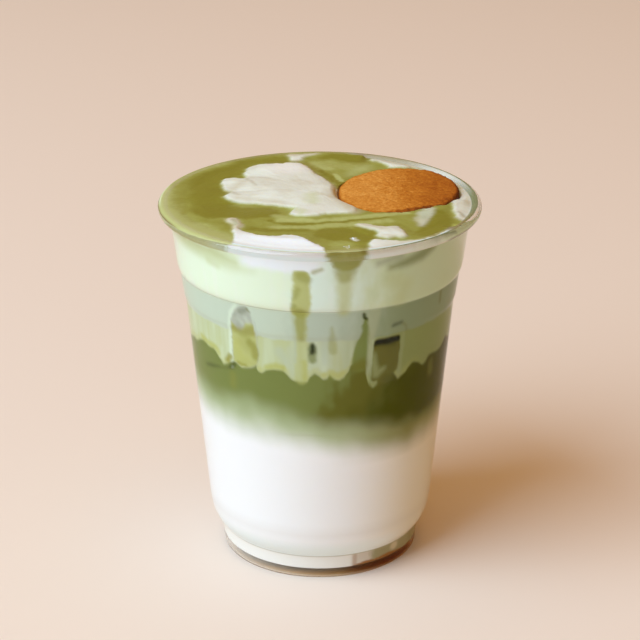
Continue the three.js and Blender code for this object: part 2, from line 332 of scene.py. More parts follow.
# The pattern of the drink on the wall, by angle in degrees and height in millimetres
WALL_SCALE = math.radians(1) * 41.5
NEAR_TONGUES = [
    (-75, 72), (-66, 74), (-60, 75.2), (-57, 74.2), (-52, 74.2), (-50, 73.2), (-48.6, 71.6), (-46.5, 70.4),
    (-44.5, 70.8), (-42, 72), (-40, 72.8), (-38, 72.4), (-35.5, 71.3), (-33, 71.7), (-31.3, 73.6),
    (-29.6, 74.8), (-28.2, 73.4), (-27.4, 71.4), (-25.5, 71), (-23.5, 72.2), (-20, 72.9), (-15.4, 72.8),
    (-13.8, 71.2), (-11.6, 70), (-8.6, 69.6), (-5.2, 69.8), (-4.2, 71.4), (-2.4, 72.5), (-0.4, 71.8),
    (1.2, 70.6), (2.8, 70.7), (3.8, 72.1), (5, 71.4), (6.6, 70.4), (8.4, 70.1), (10.2, 71), (11.8, 72.6),
    (13.4, 75), (14.4, 76), (19.4, 74), (20.1, 70.5), (21.2, 68), (23.5, 66.4), (25, 67.8), (26.2, 69.8),
    (29, 70.4), (33.4, 70.3), (34.6, 68.9), (35.8, 67.5), (37.4, 68.2), (39.8, 69), (41.2, 70.2),
    (43.8, 71.6), (46.4, 71.2), (48.6, 70), (50.8, 69.1), (53, 69.8), (54.6, 71.2), (56.2, 71.4), (62, 71),
    (75, 71.6),
]

# A streak, spot or patch of colour: its line or outline, half widths, edge softness and share
Mark = namedtuple("Mark", "colour line widths soft share", defaults=(1.0,))

ARCH = [
    (-39.4, 73), (-39.6, 79), (-39.2, 85.5), (-36.4, 90.2), (-32.8, 92.2), (-29.8, 92), (-28, 87),
    (-27, 81), (-26.7, 76), (-28.2, 73), (-33, 71.6),
]
SQUARE = [
    (22.6, 69), (22.5, 75), (22.9, 80.4), (23.8, 82.2), (29, 82.3), (34.4, 82.3), (35.4, 81.2), (35.3, 75),
    (34.4, 70.5), (30, 70), (25.8, 68.6),
]
SPIRE = [
    (13.6, 75), (14, 79), (15.2, 82), (16.6, 84.4), (17.3, 88), (17.2, 91.6), (18.2, 91.3), (19.6, 88.6),
    (20.6, 84.5), (20.4, 78), (19.6, 73), (16, 72.6),
]
ARCH_FOOT = [
    (-39.4, 72.6), (-39.4, 85.2), (-37.6, 85.2), (-35.2, 83.6), (-32.6, 85), (-31, 86.8), (-28.2, 86.2),
    (-27, 81), (-26.8, 75), (-28.4, 73), (-33, 71.6),
]
# The blackish green marks below are painted shade in gaps between ice and drink
WALL_MARKS = [
    Mark("pale", [(-41.2, 73), (-40.8, 79), (-40.2, 84), (-38.6, 89), (-35.6, 92)],
         [0.7, 0.6, 0.5, 0.5, 0.3], 0.8, 0.7),
    Mark("pale", [(-47.5, 72.4), (-46.6, 76)], [0.5, 0.3], 1.2, 0.2),
    Mark("fringe", [(-62, 76), (-56, 75.2), (-50.5, 75), (-48.6, 73.4)], [0.6, 0.5, 0.6, 0.3], 1.2, 0.75),
    Mark("fringe_dark", [(-43.6, 72.2), (-42, 73.6)], [0.7, 0.9], 1, 0.85),
    Mark("fringe", [(-23, 73.3), (-19, 74.2), (-15.6, 73.8)], [0.5, 0.7, 0.6], 1.1, 0.75),
    Mark("band_near", [(-17, 79), (-14.6, 76)], [1.2, 1], 1.6, 0.5),
    Mark("cloudy_near", [(-12.6, 80), (-11.6, 71.6), (-9, 71)], [0.8, 1, 0.9], 1, 0.7),
    Mark("fringe", [(-6.6, 76), (-6.2, 71)], [0.6, 0.7], 1, 0.7),
    Mark("band_near", [(2, 90), (2.1, 82), (1.8, 76)], [0.8, 0.9, 0.7], 1, 0.45),
    Mark("olive", [(4.8, 87.6), (5, 83), (5.4, 80)], [0.2, 0.9, 1.2], 1, 0.45),
    Mark("fringe", [(4, 72.6), (7.6, 71.6), (10, 72.6)], [0.8, 0.8, 0.5], 1.2, 0.6),
    Mark("fringe", [(1.6, 72)], [0.7], 1, 0.7),
    Mark("green", SPIRE, None, 0.5, 0.95),
    Mark("olive_dark", [(15.6, 74), (18.4, 74.6)], [1.2, 1.6], 1.6, 0.8),
    Mark("gap_shade", [(17.5, 91.2), (18.3, 89.8)], [0.45, 0.4], 0.5, 0.75),
    Mark("pale_right_shade", [(22, 91), (21.4, 84), (21.3, 78), (21.4, 72), (22.4, 69)],
         [1.8, 0.9, 0.75, 0.7, 0.5], 0.8, 0.7),
    Mark("green_pale", [(22, 71.2), (22.6, 69.4), (23.7, 67.6)], [0.6, 1.1, 0.9], 0.9, 0.85),
    Mark("pale_right_shade", [(36.9, 82), (36.7, 78), (36.3, 73), (36.2, 69)], [0.3, 0.4, 0.3, 0.6], 1, 0.3),
    Mark("gap_shade", [(31.2, 86), (34.8, 86.5)], [0.35, 0.3], 0.8, 0.55),
    Mark("olive_dark", [(35.4, 85.8), (37.4, 85.2), (38.4, 83.4)], [0.2, 0.3, 0.3], 0.7, 0.35),
    Mark("olive_dark", [(57.6, 92), (58, 88.4)], [0.3, 0.2], 1.2, 0.6),
    Mark("olive_dark", [(57.2, 68.6), (58, 65.4)], [1, 1.3], 1.2, 0.6),
    Mark("tea_left", [(-3.3, 81), (-3.2, 77)], [1.15, 1.1], 0.9, 0.75),
    Mark("gap_shade", [(-3, 81.6), (-3.2, 79.4)], [0.55, 0.5], 0.9, 0.9),
    # A small ring of painted shade with a painted glint in its middle
    Mark("gap_shade", [(-43, 69.9), (-41, 70.7), (-39.8, 71.6)], [0.2, 0.6, 0.5], 0.9, 0.5),
    Mark("band_left", [(-41.2, 70.4), (-40.4, 70.7)], [0.1, 0.1], 0.5, 0.45),
    Mark("gap_shade", [(-60, 67.2), (-55, 68), (-50, 68.7)], [0.2, 0.5, 0.05], 1, 0.42),
    Mark("gap_shade", [(-50, 68.7), (-44, 69.5)], [0.05, 0.1], 0.9, 0.25),
    Mark("fringe_dark", [(-41, 67.6), (-41.5, 64.6)], [1, 0.9], 1.6, 0.3),
]
ARCH_MARKS = [
    Mark("olive", [(-38, 84), (-33, 83), (-29, 84.4)], [0.9, 1.1, 1.6], 1.4, 0.7),
    Mark("fringe_dark", [(-35, 80), (-30.6, 78.6)], [1, 1.6], 2.2, 0.3),
    Mark("olive", [(-30.6, 80.5), (-28.4, 79), (-28.2, 76)], [1, 1.1, 0.9], 1.2, 0.85),
    Mark("fringe", [(-37.6, 79), (-36, 74.6), (-33.4, 74.4)], [1, 1.2, 0.8], 1.6, 0.5),
    Mark("fringe_dark", [(-37.4, 72.6), (-33.6, 72.2)], [0.4, 0.5], 0.8, 0.7),
    Mark("ice_dark", [(-33.6, 90.2), (-31.4, 91)], [0.8, 0.7], 0.9, 0.75),
    Mark("olive_dark", [(-30.2, 91.6), (-28.8, 90.7)], [0.2, 0.3], 0.5, 0.7),
    # The pale spots in the window are painted highlights on the ice
    Mark("pale", [(-35.6, 87.6), (-33.4, 86.4)], [0.4, 0.3], 1.2, 0.35),
    Mark("ice_dark", [(-36.6, 88.8), (-34.6, 85.6)], [0.3, 0.4], 1.4, 0.4),
    Mark("pale", [(-31.2, 88.4), (-30, 86.8)], [0.3, 0.2], 1, 0.3),
]
# The blackish green line along the window's top is painted shade
SQUARE_MARKS = [
    Mark("green_pale", [(22.8, 77.6), (23.4, 73.6), (24.6, 71), (28.6, 72.4)],
         [0.6, 1.1, 1.2, 0.3], 1.3, 0.85),
    Mark("tea_near", [(31.5, 73.4), (33.6, 78)], [1.4, 1.2], 1.8, 0.7),
    Mark("tea_right_shade", [(23.4, 80.6), (29, 80.4), (32.4, 79.6)], [0.7, 0.8, 0.5], 0.9, 0.8),
    Mark("gap_shade", [(23.6, 81.3), (29, 81.2), (34.9, 81.2)], [0.7, 0.9, 0.8], 0.7, 0.95),
]
DRIP_MARKS = [
    Mark("drip", [(-7, 103.6), (-6.8, 102.3), (-7, 99.6), (-7, 96), (-7.4, 93)],
         [2.3, 2, 2.3, 2.4, 2.3], 0.8, 0.92),
    Mark("drip", [(-9, 105.3), (-5, 105.1)], [0.8, 0.8], 0.5, 0.9),
    Mark("drip_dark", [(-6.8, 104.4), (-4.6, 103.4)], [1.4, 0.8], 1.2, 0.6),
    Mark("drip_dark", [(-8.4, 100), (-9.8, 97.4)], [0.7, 0.4], 0.9, 0.55),
    Mark("drip_dark", [(-10.4, 95), (-9.6, 93), (-6.6, 92.4)], [0.4, 0.9, 0.6], 0.9, 0.8),
    Mark("drip", [(-8.4, 92.5), (-8, 88), (-7.8, 82), (-8, 76), (-8, 70.6)],
         [2, 1.9, 1.8, 1.9, 1.8], 0.9, 0.55),
    Mark("drip_dark", [(-7.8, 92), (-7.8, 88), (-7.6, 84)], [1.5, 1.4, 0.8], 1.2, 0.7),
    Mark("band_near", [(-10.6, 91), (-10.2, 82), (-10.4, 76)], [0.3, 0.4, 0.3], 0.6, 0.5),
    Mark("drip", [(9, 104), (9.2, 98), (9.2, 93)], [2, 1.5, 1.2], 1.8, 0.6),
    Mark("drip_dark", [(9.6, 109.4), (9.4, 106.6), (9.2, 104.4)], [3.4, 2.8, 1.8], 1.4, 0.65),
    Mark("paste", [(9.8, 113), (9.8, 110.6)], [5.2, 4.4], 0.9, 0.9),
    Mark("drip_dark", [(-2.2, 106), (0.6, 106.8)], [0.4, 0.25], 1, 0.75),
    Mark("tea_left", [(27, 105.6), (34, 106.4), (41, 107.6), (46, 109.2)], [0.3, 1, 1.5, 1.2], 2, 0.75),
    Mark("ice_dark", [(22, 107.6), (31, 108.8)], [0.5, 0.8], 1.8, 0.5),
    # A pale band and a dark line under the rolled rim on the right, painted light and shade of its
    # refraction
    Mark("cream_cool_light", [(19, 110.6), (30, 110.9), (44, 111), (56, 111)], [0.5, 0.6, 0.5, 0.3], 0.5, 0.6),
    Mark("rim_band", [(17, 109.7), (34, 109.8), (58, 109.9)], [0.12, 0.2, 0.25], 0.4, 0.7),
    Mark("cream_shade", [(-120, 109), (-80, 109), (-62, 108.6), (-48, 108.4), (-41, 107.4), (-33, 106.2)],
         [2.6, 2.4, 2.3, 1.9, 1.3, 0.2], 3, 0.8),
    Mark("cream_shade", [(-64, 107), (-48, 105.6), (-36, 104.4), (-26, 104.6)],
         [1, 1, 0.8, 0.2], 2.6, 0.35),
    Mark("pale", [(-78, 109.6), (-60, 109.4), (-46, 108.6)], [0.2, 0.35, 0.2], 0.6, 0.6),
    Mark("drip_dark", [(-70, 110.6), (-50, 110.8), (-36, 110.6)], [0.25, 0.4, 0.2], 0.6, 0.55),
    Mark("cream_shade", [(-47, 104.4), (-42, 103.6)], [0.7, 0.5], 1.4, 0.4),
    Mark("cream_shade", [(28, 102), (34, 99), (33, 95)], [1.6, 1.8, 1.5], 3, 0.5),
]

# The far side, which the photograph doesn't show: ice against the wall, and drips, by angle
FAR_ICE = [
    (-6, 73), (-6, 80), (-5.5, 86), (-3, 90.6), (0.5, 92), (3.6, 91), (5.4, 86), (6, 80), (5.6, 74),
    (0, 72),
]
FAR_WINDOWS = [(94, -1.5), (146, 0.5), (201, -0.5), (257, 0.0)]
# The blackish green line is painted shade
FAR_MARKS = [
    Mark("pale", [(-7, 73), (-6.8, 80), (-6.2, 87), (-3.6, 91)], [0.7, 0.6, 0.5, 0.3], 0.8, 0.6),
    Mark("olive", [(4.6, 86), (5.4, 78), (5, 74)], [0.8, 1, 0.8], 1.2, 0.7),
    Mark("gap_shade", [(-4.6, 82.6), (0, 82.3), (4.2, 82.8)], [0.3, 0.6, 0.4], 0.8, 0.6),
    Mark("tea_left", [(11, 81), (11.2, 76.6)], [1.1, 1], 1, 0.6),
    Mark("ice_dark", [(-1.4, 89.6), (1.4, 90.2)], [0.7, 0.6], 1, 0.6),
]
FAR_DRIPS = [(84, 16), (117, 24), (169, 19), (184, 28), (228, 15), (242, 26), (276, 20)]
# The angle from which the far side's pattern is used, and the heights between which the tea is thin and
# deep on the left, and where the milky band ends
FAR_FROM = 70
THIN_TEA = (45.5, 57.0)
DEEP_TEA = (53.0, 64.0)
BAND_EDGE = (82.6, 83.4)
# Points of the drink at the wall: angle and height, place along the wall, both bent by small noise, that
# noise, broad and streaky noise, and how the right side's colours, painted shade among them, fade
# towards the far side
WallPoints = namedtuple("WallPoints", "angle level across x z wander grain streaky fades_far fades_low")
# The height up to which the milk in the foot is painted with the table's shadow, seen through the foot
FOOT_SHADOW = [
    (-180, 2.6), (12, 2.6), (19, 2.8), (20.5, 3.4), (28, 4.0), (34, 3.8), (44, 4.5), (57, 3.4), (75, 3.0),
    (95, 2.6), (180, 2.6),
]


def on_wall(outline, rise=0):
    """An outline in millimetres on the wall, from angles and heights."""
    return [(at * WALL_SCALE, height + rise) for at, height in outline]


def put_marks(paint, x, z, marks, within=1.0, wide=WALL_SCALE):
    """Lays each mark on the paint, in order."""
    for mark in marks:
        line = [(at * wide, height) for at, height in mark.line]
        if mark.widths is None:
            share = smooth(depth_in(x, z, curved(line)), -mark.soft, mark.soft)
        else:
            line, widths = (line * 2, mark.widths * 2) if len(line) == 1 else (line, mark.widths)
            share = smooth(near_line(x, z, line, widths), mark.soft, -0.6 * mark.soft)
        lay(paint, mark.colour, share * mark.share * within)


def round_about(angle, left, near, right, window=(5, 20, 9), turn=(2, 34)):
    """A colour for each angle: one on the left and far side, one on the near side, and on the right
    a darker one, which is painted shade.
    """
    middle, low, high = window
    paint = coat(left, len(angle))
    lay(paint, near, smooth(np.abs(angle - middle), low, high))
    lay(paint, right, smooth(angle, *turn) * smooth(angle, 150, 95))
    return paint


def tongue_edge(angle):
    """The height of the cloudy layer's lower edge: listed tongues on the near side."""
    far = np.interp(angle, STREAK_ANGLES, STREAK_LEVELS, period=360)
    near = np.interp(angle, [at for at, level in NEAR_TONGUES], [level for at, level in NEAR_TONGUES])
    return far + (near - far) * smooth(np.abs(angle), 74, 64)


def along_wall(angle, turned, wander):
    """How far points lie along the wall from a place on the far side, in millimetres."""
    return ((angle - turned + 180) % 360 - 180) * WALL_SCALE + wander


def far_ice(paint, angle, z, wander):
    """The ice against the wall on the far side."""
    for turned, rise in FAR_WINDOWS:
        across = along_wall(angle, turned, wander)
        window = smooth(depth_in(across, z, curved(on_wall(FAR_ICE, rise))), -0.4, 0.5)
        lay(paint, "ice", window * smooth(z, 84.5 + rise, 87 + rise) * 0.85)
        lay(paint, "drip", window * smooth(z, 87 + rise, 84.5 + rise) * 0.8)
        put_marks(paint, across, z - rise, FAR_MARKS)
    return paint


def far_drips(paint, angle, z, wander):
    """The drips on the far side."""
    for turned, length in FAR_DRIPS:
        across = along_wall(angle, turned, wander)
        line = [(0, 108), (0.3, 103), (-0.2, 108 - length)]
        put_marks(paint, across, z, [Mark("drip", line, [2.2, 2.0, 1.3], 1.0, 0.8)])
    return paint


def milk_paint(paint, at):
    """Milk, from the cup's foot up, warmer on the right where warm bounce light is painted in,
    with painted shade in the foot.
    """
    # Painted warm bounce light on the right side, fading out towards the far side
    lay(paint, "milk_warm_light", smooth(at.angle, 12, 62) * at.fades_low * 0.75)
    corner = smooth(at.level, 14.5, 10.5) * smooth(at.level, FOOT_LINE, FOOT_LINE + 0.3)
    # Painted cool light on the milk round the cup's corner, near side
    lay(paint, "milk_cool_light", corner * smooth(at.angle, 60, 15) * smooth(at.angle, -100, -60) * 0.9)
    in_foot = smooth(at.level, FOOT_LINE - 0.1, FOOT_LINE - 0.4)
    # Painted warm light on the milk in the foot, all round
    lay(paint, "milk_warm_light", in_foot * 0.28)
    # Painted shade at the milk's edge in the foot: greyer and greener on the right, with the table's shadow
    # painted below it
    at_right = in_foot * smooth(at.angle, 17, 20.5) * smooth(at.angle, 90, 80)
    lay(paint, "milk_grey", at_right * 0.5)
    lay(paint, "foot_table_shadow", at_right * smooth(np.abs(at.angle - 20.5), 2.2, 0.6) * 0.4)
    lay(paint, "milk_green_shade", at_right * smooth(at.angle + 2 * at.grain, 30, 35) * 0.85)
    # A spot of painted warm light in the foot, right
    spot = np.hypot((at.angle - 49) * 0.55, (at.level - 6.0) * 1.2)
    lay(paint, "milk_warm_light", at_right * smooth(spot, 2.6, 0.8) * 0.7)
    # Painted table shadow in the foot, up to a height that changes round the cup
    brown = np.interp(at.angle, *zip(*FOOT_SHADOW)) + 0.25 * at.grain
    lay(paint, "foot_table_shadow", smooth(at.level, brown + 0.3, brown - 0.25))
    # A thin painted shade line along the foot's step, stronger to the right
    line = smooth(np.abs(at.level - FOOT_LINE), 0.36, 0.1)
    lay(paint, "milk_green_shade", line * (0.6 + 0.25 * smooth(at.angle, -10, 45) * at.fades_low))
    # A faint painted shade line round the cup's corner
    lay(paint, "milk_grey", smooth(np.abs(at.level - CORNER_LINE), 0.9, 0.2) * 0.12)


def tea_paint(paint, at):
    """Tea over the milk, drifting into it, lower on the right."""
    drift = 2.0 * cloud(at.across * 0.3, at.level * 0.25 + at.across * 0.05, 0 * at.level, 6.0, seed=2.0)
    right = smooth(at.angle, -40, 45) * at.fades_far
    low = 3.0 * smooth(at.angle, 30, 52) * at.fades_far
    thin = coat("tea_thin", len(paint))
    lay(thin, "tea_thin_right_shade", smooth(at.angle, 0, 50) * at.fades_far)
    thin_from, thin_to = THIN_TEA
    lay(paint, thin, smooth(at.z, thin_from - 6.5 * right + 0.4 * drift, thin_to - 7.0 * right + drift))
    deep_from, deep_to = DEEP_TEA
    deep = smooth(at.z, deep_from - 2.2 * right - low + drift, deep_to - 5.5 * right - low + 1.3 * drift)
    bent = at.angle + 6 * at.grain + 1.05 * (62 - at.z)
    lay(paint, round_about(bent, "tea_left", "tea_near", "tea_right_shade", (14, 17, 6), (12, 36)), deep)


def cloudy_paint(paint, at):
    """The cloudy layer down to its tongues, the milky band on it, and the ice at the wall."""
    edge = tongue_edge((at.x + 0.3 * at.wander) / WALL_SCALE)
    cloudy = smooth(at.z - edge, -0.55, 0.65)
    lay(paint, round_about(at.angle, "cloudy_left", "cloudy_near", "cloudy_right_shade"), cloudy)
    streaks = cloudy * smooth(at.angle, 40, 0)
    lay(paint, "pale", streaks * smooth(at.streaky, -0.1, 0.8) * 0.24)
    lay(paint, "fringe", streaks * smooth(at.streaky, 0.1, -0.8) * 0.22)
    low_edge = smooth(at.z - edge + 1.2 * at.grain, 3.2, 0.4)
    lay(paint, "fringe", cloudy * low_edge * smooth(at.angle, 60, 20) * 0.45)
    band = smooth(at.level - 0.4 * at.grain, *BAND_EDGE)
    lay(paint, round_about(at.angle + 4 * at.grain, "band_left", "band_near", "band_right_shade"), band * 0.95)
    put_marks(paint, at.x, at.z, WALL_MARKS)
    far = (np.abs(at.angle) > FAR_FROM) & (at.level > 65) & (at.level < 94)
    paint[far] = far_ice(paint[far], at.angle[far], at.z[far], at.wander[far])
    arch = smooth(depth_in(at.x, at.z, curved(on_wall(ARCH))), -0.4, 0.5)
    lay(paint, "ice", arch * 0.9)
    put_marks(paint, at.x, at.z, [Mark("drip", ARCH_FOOT, None, 0.7, 0.9)] + ARCH_MARKS, arch)
    square = smooth(depth_in(at.x, at.z, curved(on_wall(SQUARE))), -0.3, 0.35)
    lay(paint, "tea_near", square)
    put_marks(paint, at.x, at.z, SQUARE_MARKS, square)


def cream_paint(paint, at):
    """The cream above the upper shoulder, with its drips, and painted cool light on the near side
    and under the rim.
    """
    cream = smooth(at.level, CREAM_BASE - 0.2, CREAM_BASE + 0.25)
    lay(paint, round_about(at.angle + 6 * at.grain, "cream_left", "cream_near", "cream_right_shade"), cream)
    # Painted cool light: a whiter band on the near side, and a cooler strip under the rolled rim
    white = smooth(at.z + 0.7 * at.grain, 104.5, 107) * smooth(np.abs(at.angle + 15), 19, 12)
    lay(paint, "cream_cool_light", cream * white * 0.95)
    lay(paint, "rim_cool_light", smooth(at.level, 109.2, 110.2) * smooth(np.abs(at.angle + 3), 42, 34) * 0.95)
    lay(paint, "cream", cream * smooth(at.streaky, 0.2, 0.7) * smooth(at.angle, 30, 0) * 0.15)
    put_marks(paint, at.x, at.z, DRIP_MARKS)
    far = (np.abs(at.angle) > FAR_FROM) & (at.level > 75)
    paint[far] = far_drips(paint[far], at.angle[far], at.z[far], at.wander[far])


def wall_paint(angle, level):
    """The drink's colour where it meets the wall."""
    across = angle * WALL_SCALE
    flat = 0 * level
    wander = 0.3 * cloud(across, level, flat, 1.8, seed=4.0)
    at = WallPoints(
        angle, level, across, across + wander, level + 0.5 * wander, wander,
        cloud(across, level * 0.5, flat, 4.0, seed=11.0),
        cloud(across * 1.1, level * 0.16, flat, 2.8, seed=17.0, octaves=2),
        smooth(angle, 150, 95), smooth(angle, 150, 100))
    paint = coat("milk", len(angle))
    for part in (milk_paint, tea_paint, cloudy_paint, cream_paint):
        part(paint, at)
    return np.clip(paint, 0, 1)


# The pattern of the cream's top, laid out on a flat level, in millimetres from the cup's axis
FLAT_LEVEL = 112.4
CAMERA_BACK = 627.1
CAMERA_HEIGHT = 322.7
WHITE_PATCHES = {
    "spoonful": [
        (-10, 37.1), (-6.7, 36.4), (-4.5, 34), (-2.9, 30.4), (-1.8, 27.2), (0, 23.4), (1.9, 19.6),
        (3.8, 15.3), (4.9, 11.5), (7, 4), (9.5, -4), (11, -9.6), (9, -11.8), (6.3, -12.4), (3, -13.4),
        (-0.8, -14.3), (-4.5, -15), (-7.3, -14.5), (-8.9, -12.9), (-8.3, -10.2), (-8, -7.5), (-12.1, -6.1),
        (-15.4, -4.6), (-19.7, -3.5), (-24, -2.6), (-27.3, -0.4), (-29.4, 3.3), (-28.4, 4.9), (-27.4, 7.2),
        (-29.4, 10.4), (-30.3, 14.7), (-30.5, 18.5), (-29.2, 20.7), (-26.7, 21.4), (-24.2, 20.7),
        (-23.2, 22.3), (-23.5, 26.6), (-23.3, 30.9), (-21.6, 33.3), (-18.6, 34.9), (-14.3, 36.4),
    ],
    "near": [
        (-26.7, -16.7), (-24, -17.8), (-23.5, -24.3), (-22.9, -27.5), (-20.2, -30.2), (-16.4, -32.4),
        (-12.7, -32.9), (-9.4, -31.3), (-6.7, -32.4), (-4, -35.1), (-1.3, -38.9), (0.6, -42.7), (0.9, -50),
        (-12, -52), (-25, -46), (-24.8, -35), (-25.1, -28.6), (-25.6, -22.1), (-27.3, -19.4),
    ],
    "drop": [
        (10.1, -22.3), (13.9, -22.1), (16, -23.2), (19.3, -24.3), (22, -24.5), (23.6, -25.9), (24.5, -28.6),
        (24.7, -31.8), (24.1, -34), (21.4, -33.5), (19.3, -34.5), (16.9, -32.4), (17.3, -29.7), (15.5, -27),
        (12.2, -24.8),
    ],
    "rim_near": [
        (14.6, -37.4), (17.6, -36), (21, -36.4), (25.8, -35.6), (30, -34.6), (33.5, -31.5), (36.5, -27.5),
        (39, -24.3), (42, -27), (38, -36), (30, -43), (22, -49), (14.4, -51),
    ],
    "rim_right": [
        (41.4, 2.3), (42, 6), (43.3, 12.5), (45.4, 10.4), (46.6, 3.9), (46.4, -6.9), (45.6, -16.7),
        (43.6, -19.9), (41.4, -19.4), (39.8, -12.4), (40, -5.9), (39.8, -1),
    ],
    "rim_back": [
        (16, 39.6), (19.3, 37.4), (21.4, 34.7), (22, 32.6), (25.8, 32.4), (30.1, 31), (34.4, 27.8),
        (38.7, 21.3), (41.4, 14.7), (43.6, 12), (44.6, 15), (42, 23.3), (38, 31), (32, 37), (25, 41.5),
        (19.3, 42.5), (16.6, 42),
    ],
    "far": [
        (-10, 46.1), (-6.7, 47.2), (-0.8, 47.4), (-4.5, 43.9), (-5.6, 40.7), (-7.3, 39), (-9.4, 40.1),
        (-9.7, 42.8),
    ],
}
# Streaks over the top. The brown and warm grey ones are painted shade: in creases, under the white lobes,
# beside the biscuit and along the back rim
STREAKS = [
    Mark("cream_top", [(32.4, -8), (31.2, -13), (30.2, -18.5), (30.1, -23)],
         [1.4, 1.9, 1.5, 0.5], 1.7, 0.6),
    Mark("pale_right_shade", [(31.6, -10), (30.6, -16)], [0.9, 0.8], 1.6, 0.4),
    Mark("paste_light", [(-13, -14), (-9, -17), (-3, -18)], [1.2, 1.6, 0.8], 1.5, 0.6),
    # Two small painted highlights on bubbles
    Mark("cream_top", [(9.7, -33.8), (10.1, -36.2)], [0.45, 0.4], 0.4, 0.85),
    Mark("cream_top", [(7.6, -41.4), (7.8, -43)], [0.25, 0.2], 0.4, 0.6),
    Mark("cream_shade", [(14.5, 34), (11, 28), (9, 25)], [1.5, 2, 1], 3, 0.35),
    Mark("crease_shade", [(-22.9, 19.6), (-21, 16.4), (-19.8, 13.6)], [0.2, 0.3, 0.1], 1, 0.45),
    Mark("crease_shade", [(-28, 7.4), (-26.2, 5.6), (-24.6, 4.2)], [0.35, 0.3, 0.1], 1, 0.45),
    Mark("cream_warm_shade", [(-27, 9), (-25.6, 13), (-24, 17)], [0.6, 0.8, 0.4], 2.2, 0.6),
    Mark("cream_warm_shade", [(-25, 1.4), (-18, -1), (-11, -3.4)], [0.9, 1.1, 1], 2.6, 0.5),
    Mark("cream_warm_shade", [(4.8, 9), (5.4, 2), (8, -6), (10.4, -10)], [1, 1.3, 1.6, 1.2], 3, 0.75),
    Mark("cream_shade", [(-2.4, 4.6), (-2.6, -2)], [1.2, 1.4], 2.6, 0.45),
    Mark("cream_shade", [(-9, -8), (-5, -11), (-6, -14)], [0.7, 0.9, 0.6], 1.4, 0.45),
    Mark("cream_warm_shade", [(-26, -18), (-24.6, -22), (-24.2, -26)], [1.4, 1.3, 0.9], 1.6, 0.75),
    Mark("green", [(-25.4, -19), (-24.9, -23)], [0.5, 0.4], 0.8, 0.35),
    Mark("cream_warm_shade", [(-9, 45), (-5, 45.6), (-1, 47)], [1.2, 1, 0.5], 1.6, 0.7),
    Mark("cream_warm_shade", [(18, 40), (26, 36), (34, 31), (40, 22), (43, 13)],
         [0.9, 1.1, 1.1, 1.2, 1], 1.4, 0.6),
    Mark("crease_shade", [(41, -12), (43, -15), (45, -16.6)], [0.5, 0.5, 0.3], 0.9, 0.55),
    Mark("crease_shade", [(39.8, -16), (41.6, -18.6)], [0.3, 0.5], 0.8, 0.5),
    Mark("fringe", [(39.6, -22.6), (42.2, -23.6)], [0.6, 0.5], 0.8, 0.8),
    Mark("cream_warm_shade", [(11, -23.4), (15, -24.6), (18, -27)], [0.5, 0.9, 0.9], 1.4, 0.6),
    Mark("cream_warm_shade", [(18, -33.4), (22, -32.6)], [0.6, 0.6], 1.2, 0.4),
    Mark("green_pale", [(16, -35.3), (20, -35.1), (24.6, -35)], [0.3, 0.35, 0.2], 0.6, 0.7),
]
# Strokes of green tea over the cream, each marked by how dark it is: 0 light, 1 dark
TONES = [
    Mark(1, [(-29, 33), (-33.5, 20), (-34, 4), (-31.5, -8)], [4, 4.4, 4, 4], 5.5),
    Mark(1, [(-32, -11), (-24, -12.5), (-15, -12)], [4, 3.5, 2.5], 2.2),
    Mark(0.95, [(-24, -9), (-16, -8.6)], [1.6, 1.4], 1.2),
    Mark(0.9, [(-26, 40), (-18, 41.5), (-11, 41)], [3, 3, 2], 3),
    Mark(0.7, [(-38, 32), (-28, 40), (-14, 45.5)], [0.8, 0.8, 0.6], 2.5),
    Mark(1, [(4, 43), (12, 42)], [3, 3], 2.5),
    Mark(0.95, [(3, -29.5), (12, -30)], [4.2, 4.2], 2.2),
    Mark(0.95, [(4, -34), (13, -35)], [1.6, 2], 2),
    Mark(1, [(34, -12), (35, -20), (32, -29)], [2.8, 3.4, 3], 2.2),
    Mark(0.9, [(0.4, 29.5), (3.6, 22), (6.6, 15)], [0.5, 0.8, 1], 1),
    Mark(0.75, [(9, 18), (10, 22)], [1.6, 1.6], 2),
    Mark(1, [(-15, -18.4), (-9, -21.6), (0, -21.4), (10, -18.8), (20, -15.4)],
         [0.4, 0.8, 0.7, 0.6, 0.3], 0.9),
    Mark(0.8, [(-4, -17.4), (6, -16.4), (16, -13.4)], [0.2, 0.3, 0.2], 0.7),
    Mark(0.15, [(-12, -18), (-2, -18.8), (8, -16.6), (18, -13.6), (26, -11.4)],
         [1.3, 1.2, 1.2, 1.1, 0.9], 1.4),
    Mark(0.2, [(-13, -25), (-4, -24.6), (8, -22), (20, -18.6)], [1.5, 1.6, 1.3, 1.2], 1.6),
    Mark(0.9, [(-20, -26), (-12, -27.6), (-4, -27.4)], [0.8, 0.7, 0.6], 1.8),
    Mark(0.05, [(4.6, 26), (6.8, 19)], [0.6, 0.6], 0.8),
    Mark(0.1, [(-1, 37), (3, 33)], [1.5, 2], 2.5),
    Mark(0.3, [(3, 38), (8, 34), (13, 31)], [2.2, 2.5, 2], 3.5),
    Mark(0.25, [(-49, 8), (-46, 19), (-40, 28), (-30, 37)], [1.2, 0.9, 0.5, 0.4], 4),
    Mark(-0.05, [(-49.4, 10), (-48.6, -6), (-44, -20), (-38, -28), (-30, -37)],
         [1.6, 2.2, 3.2, 4.6, 4.6], 6.5),
    Mark(0.35, [(6, -40), (8, -47)], [2.6, 3], 2.5),
    Mark(0.8, [(12.6, -39), (13.2, -46)], [0.7, 0.7], 1.4),
]


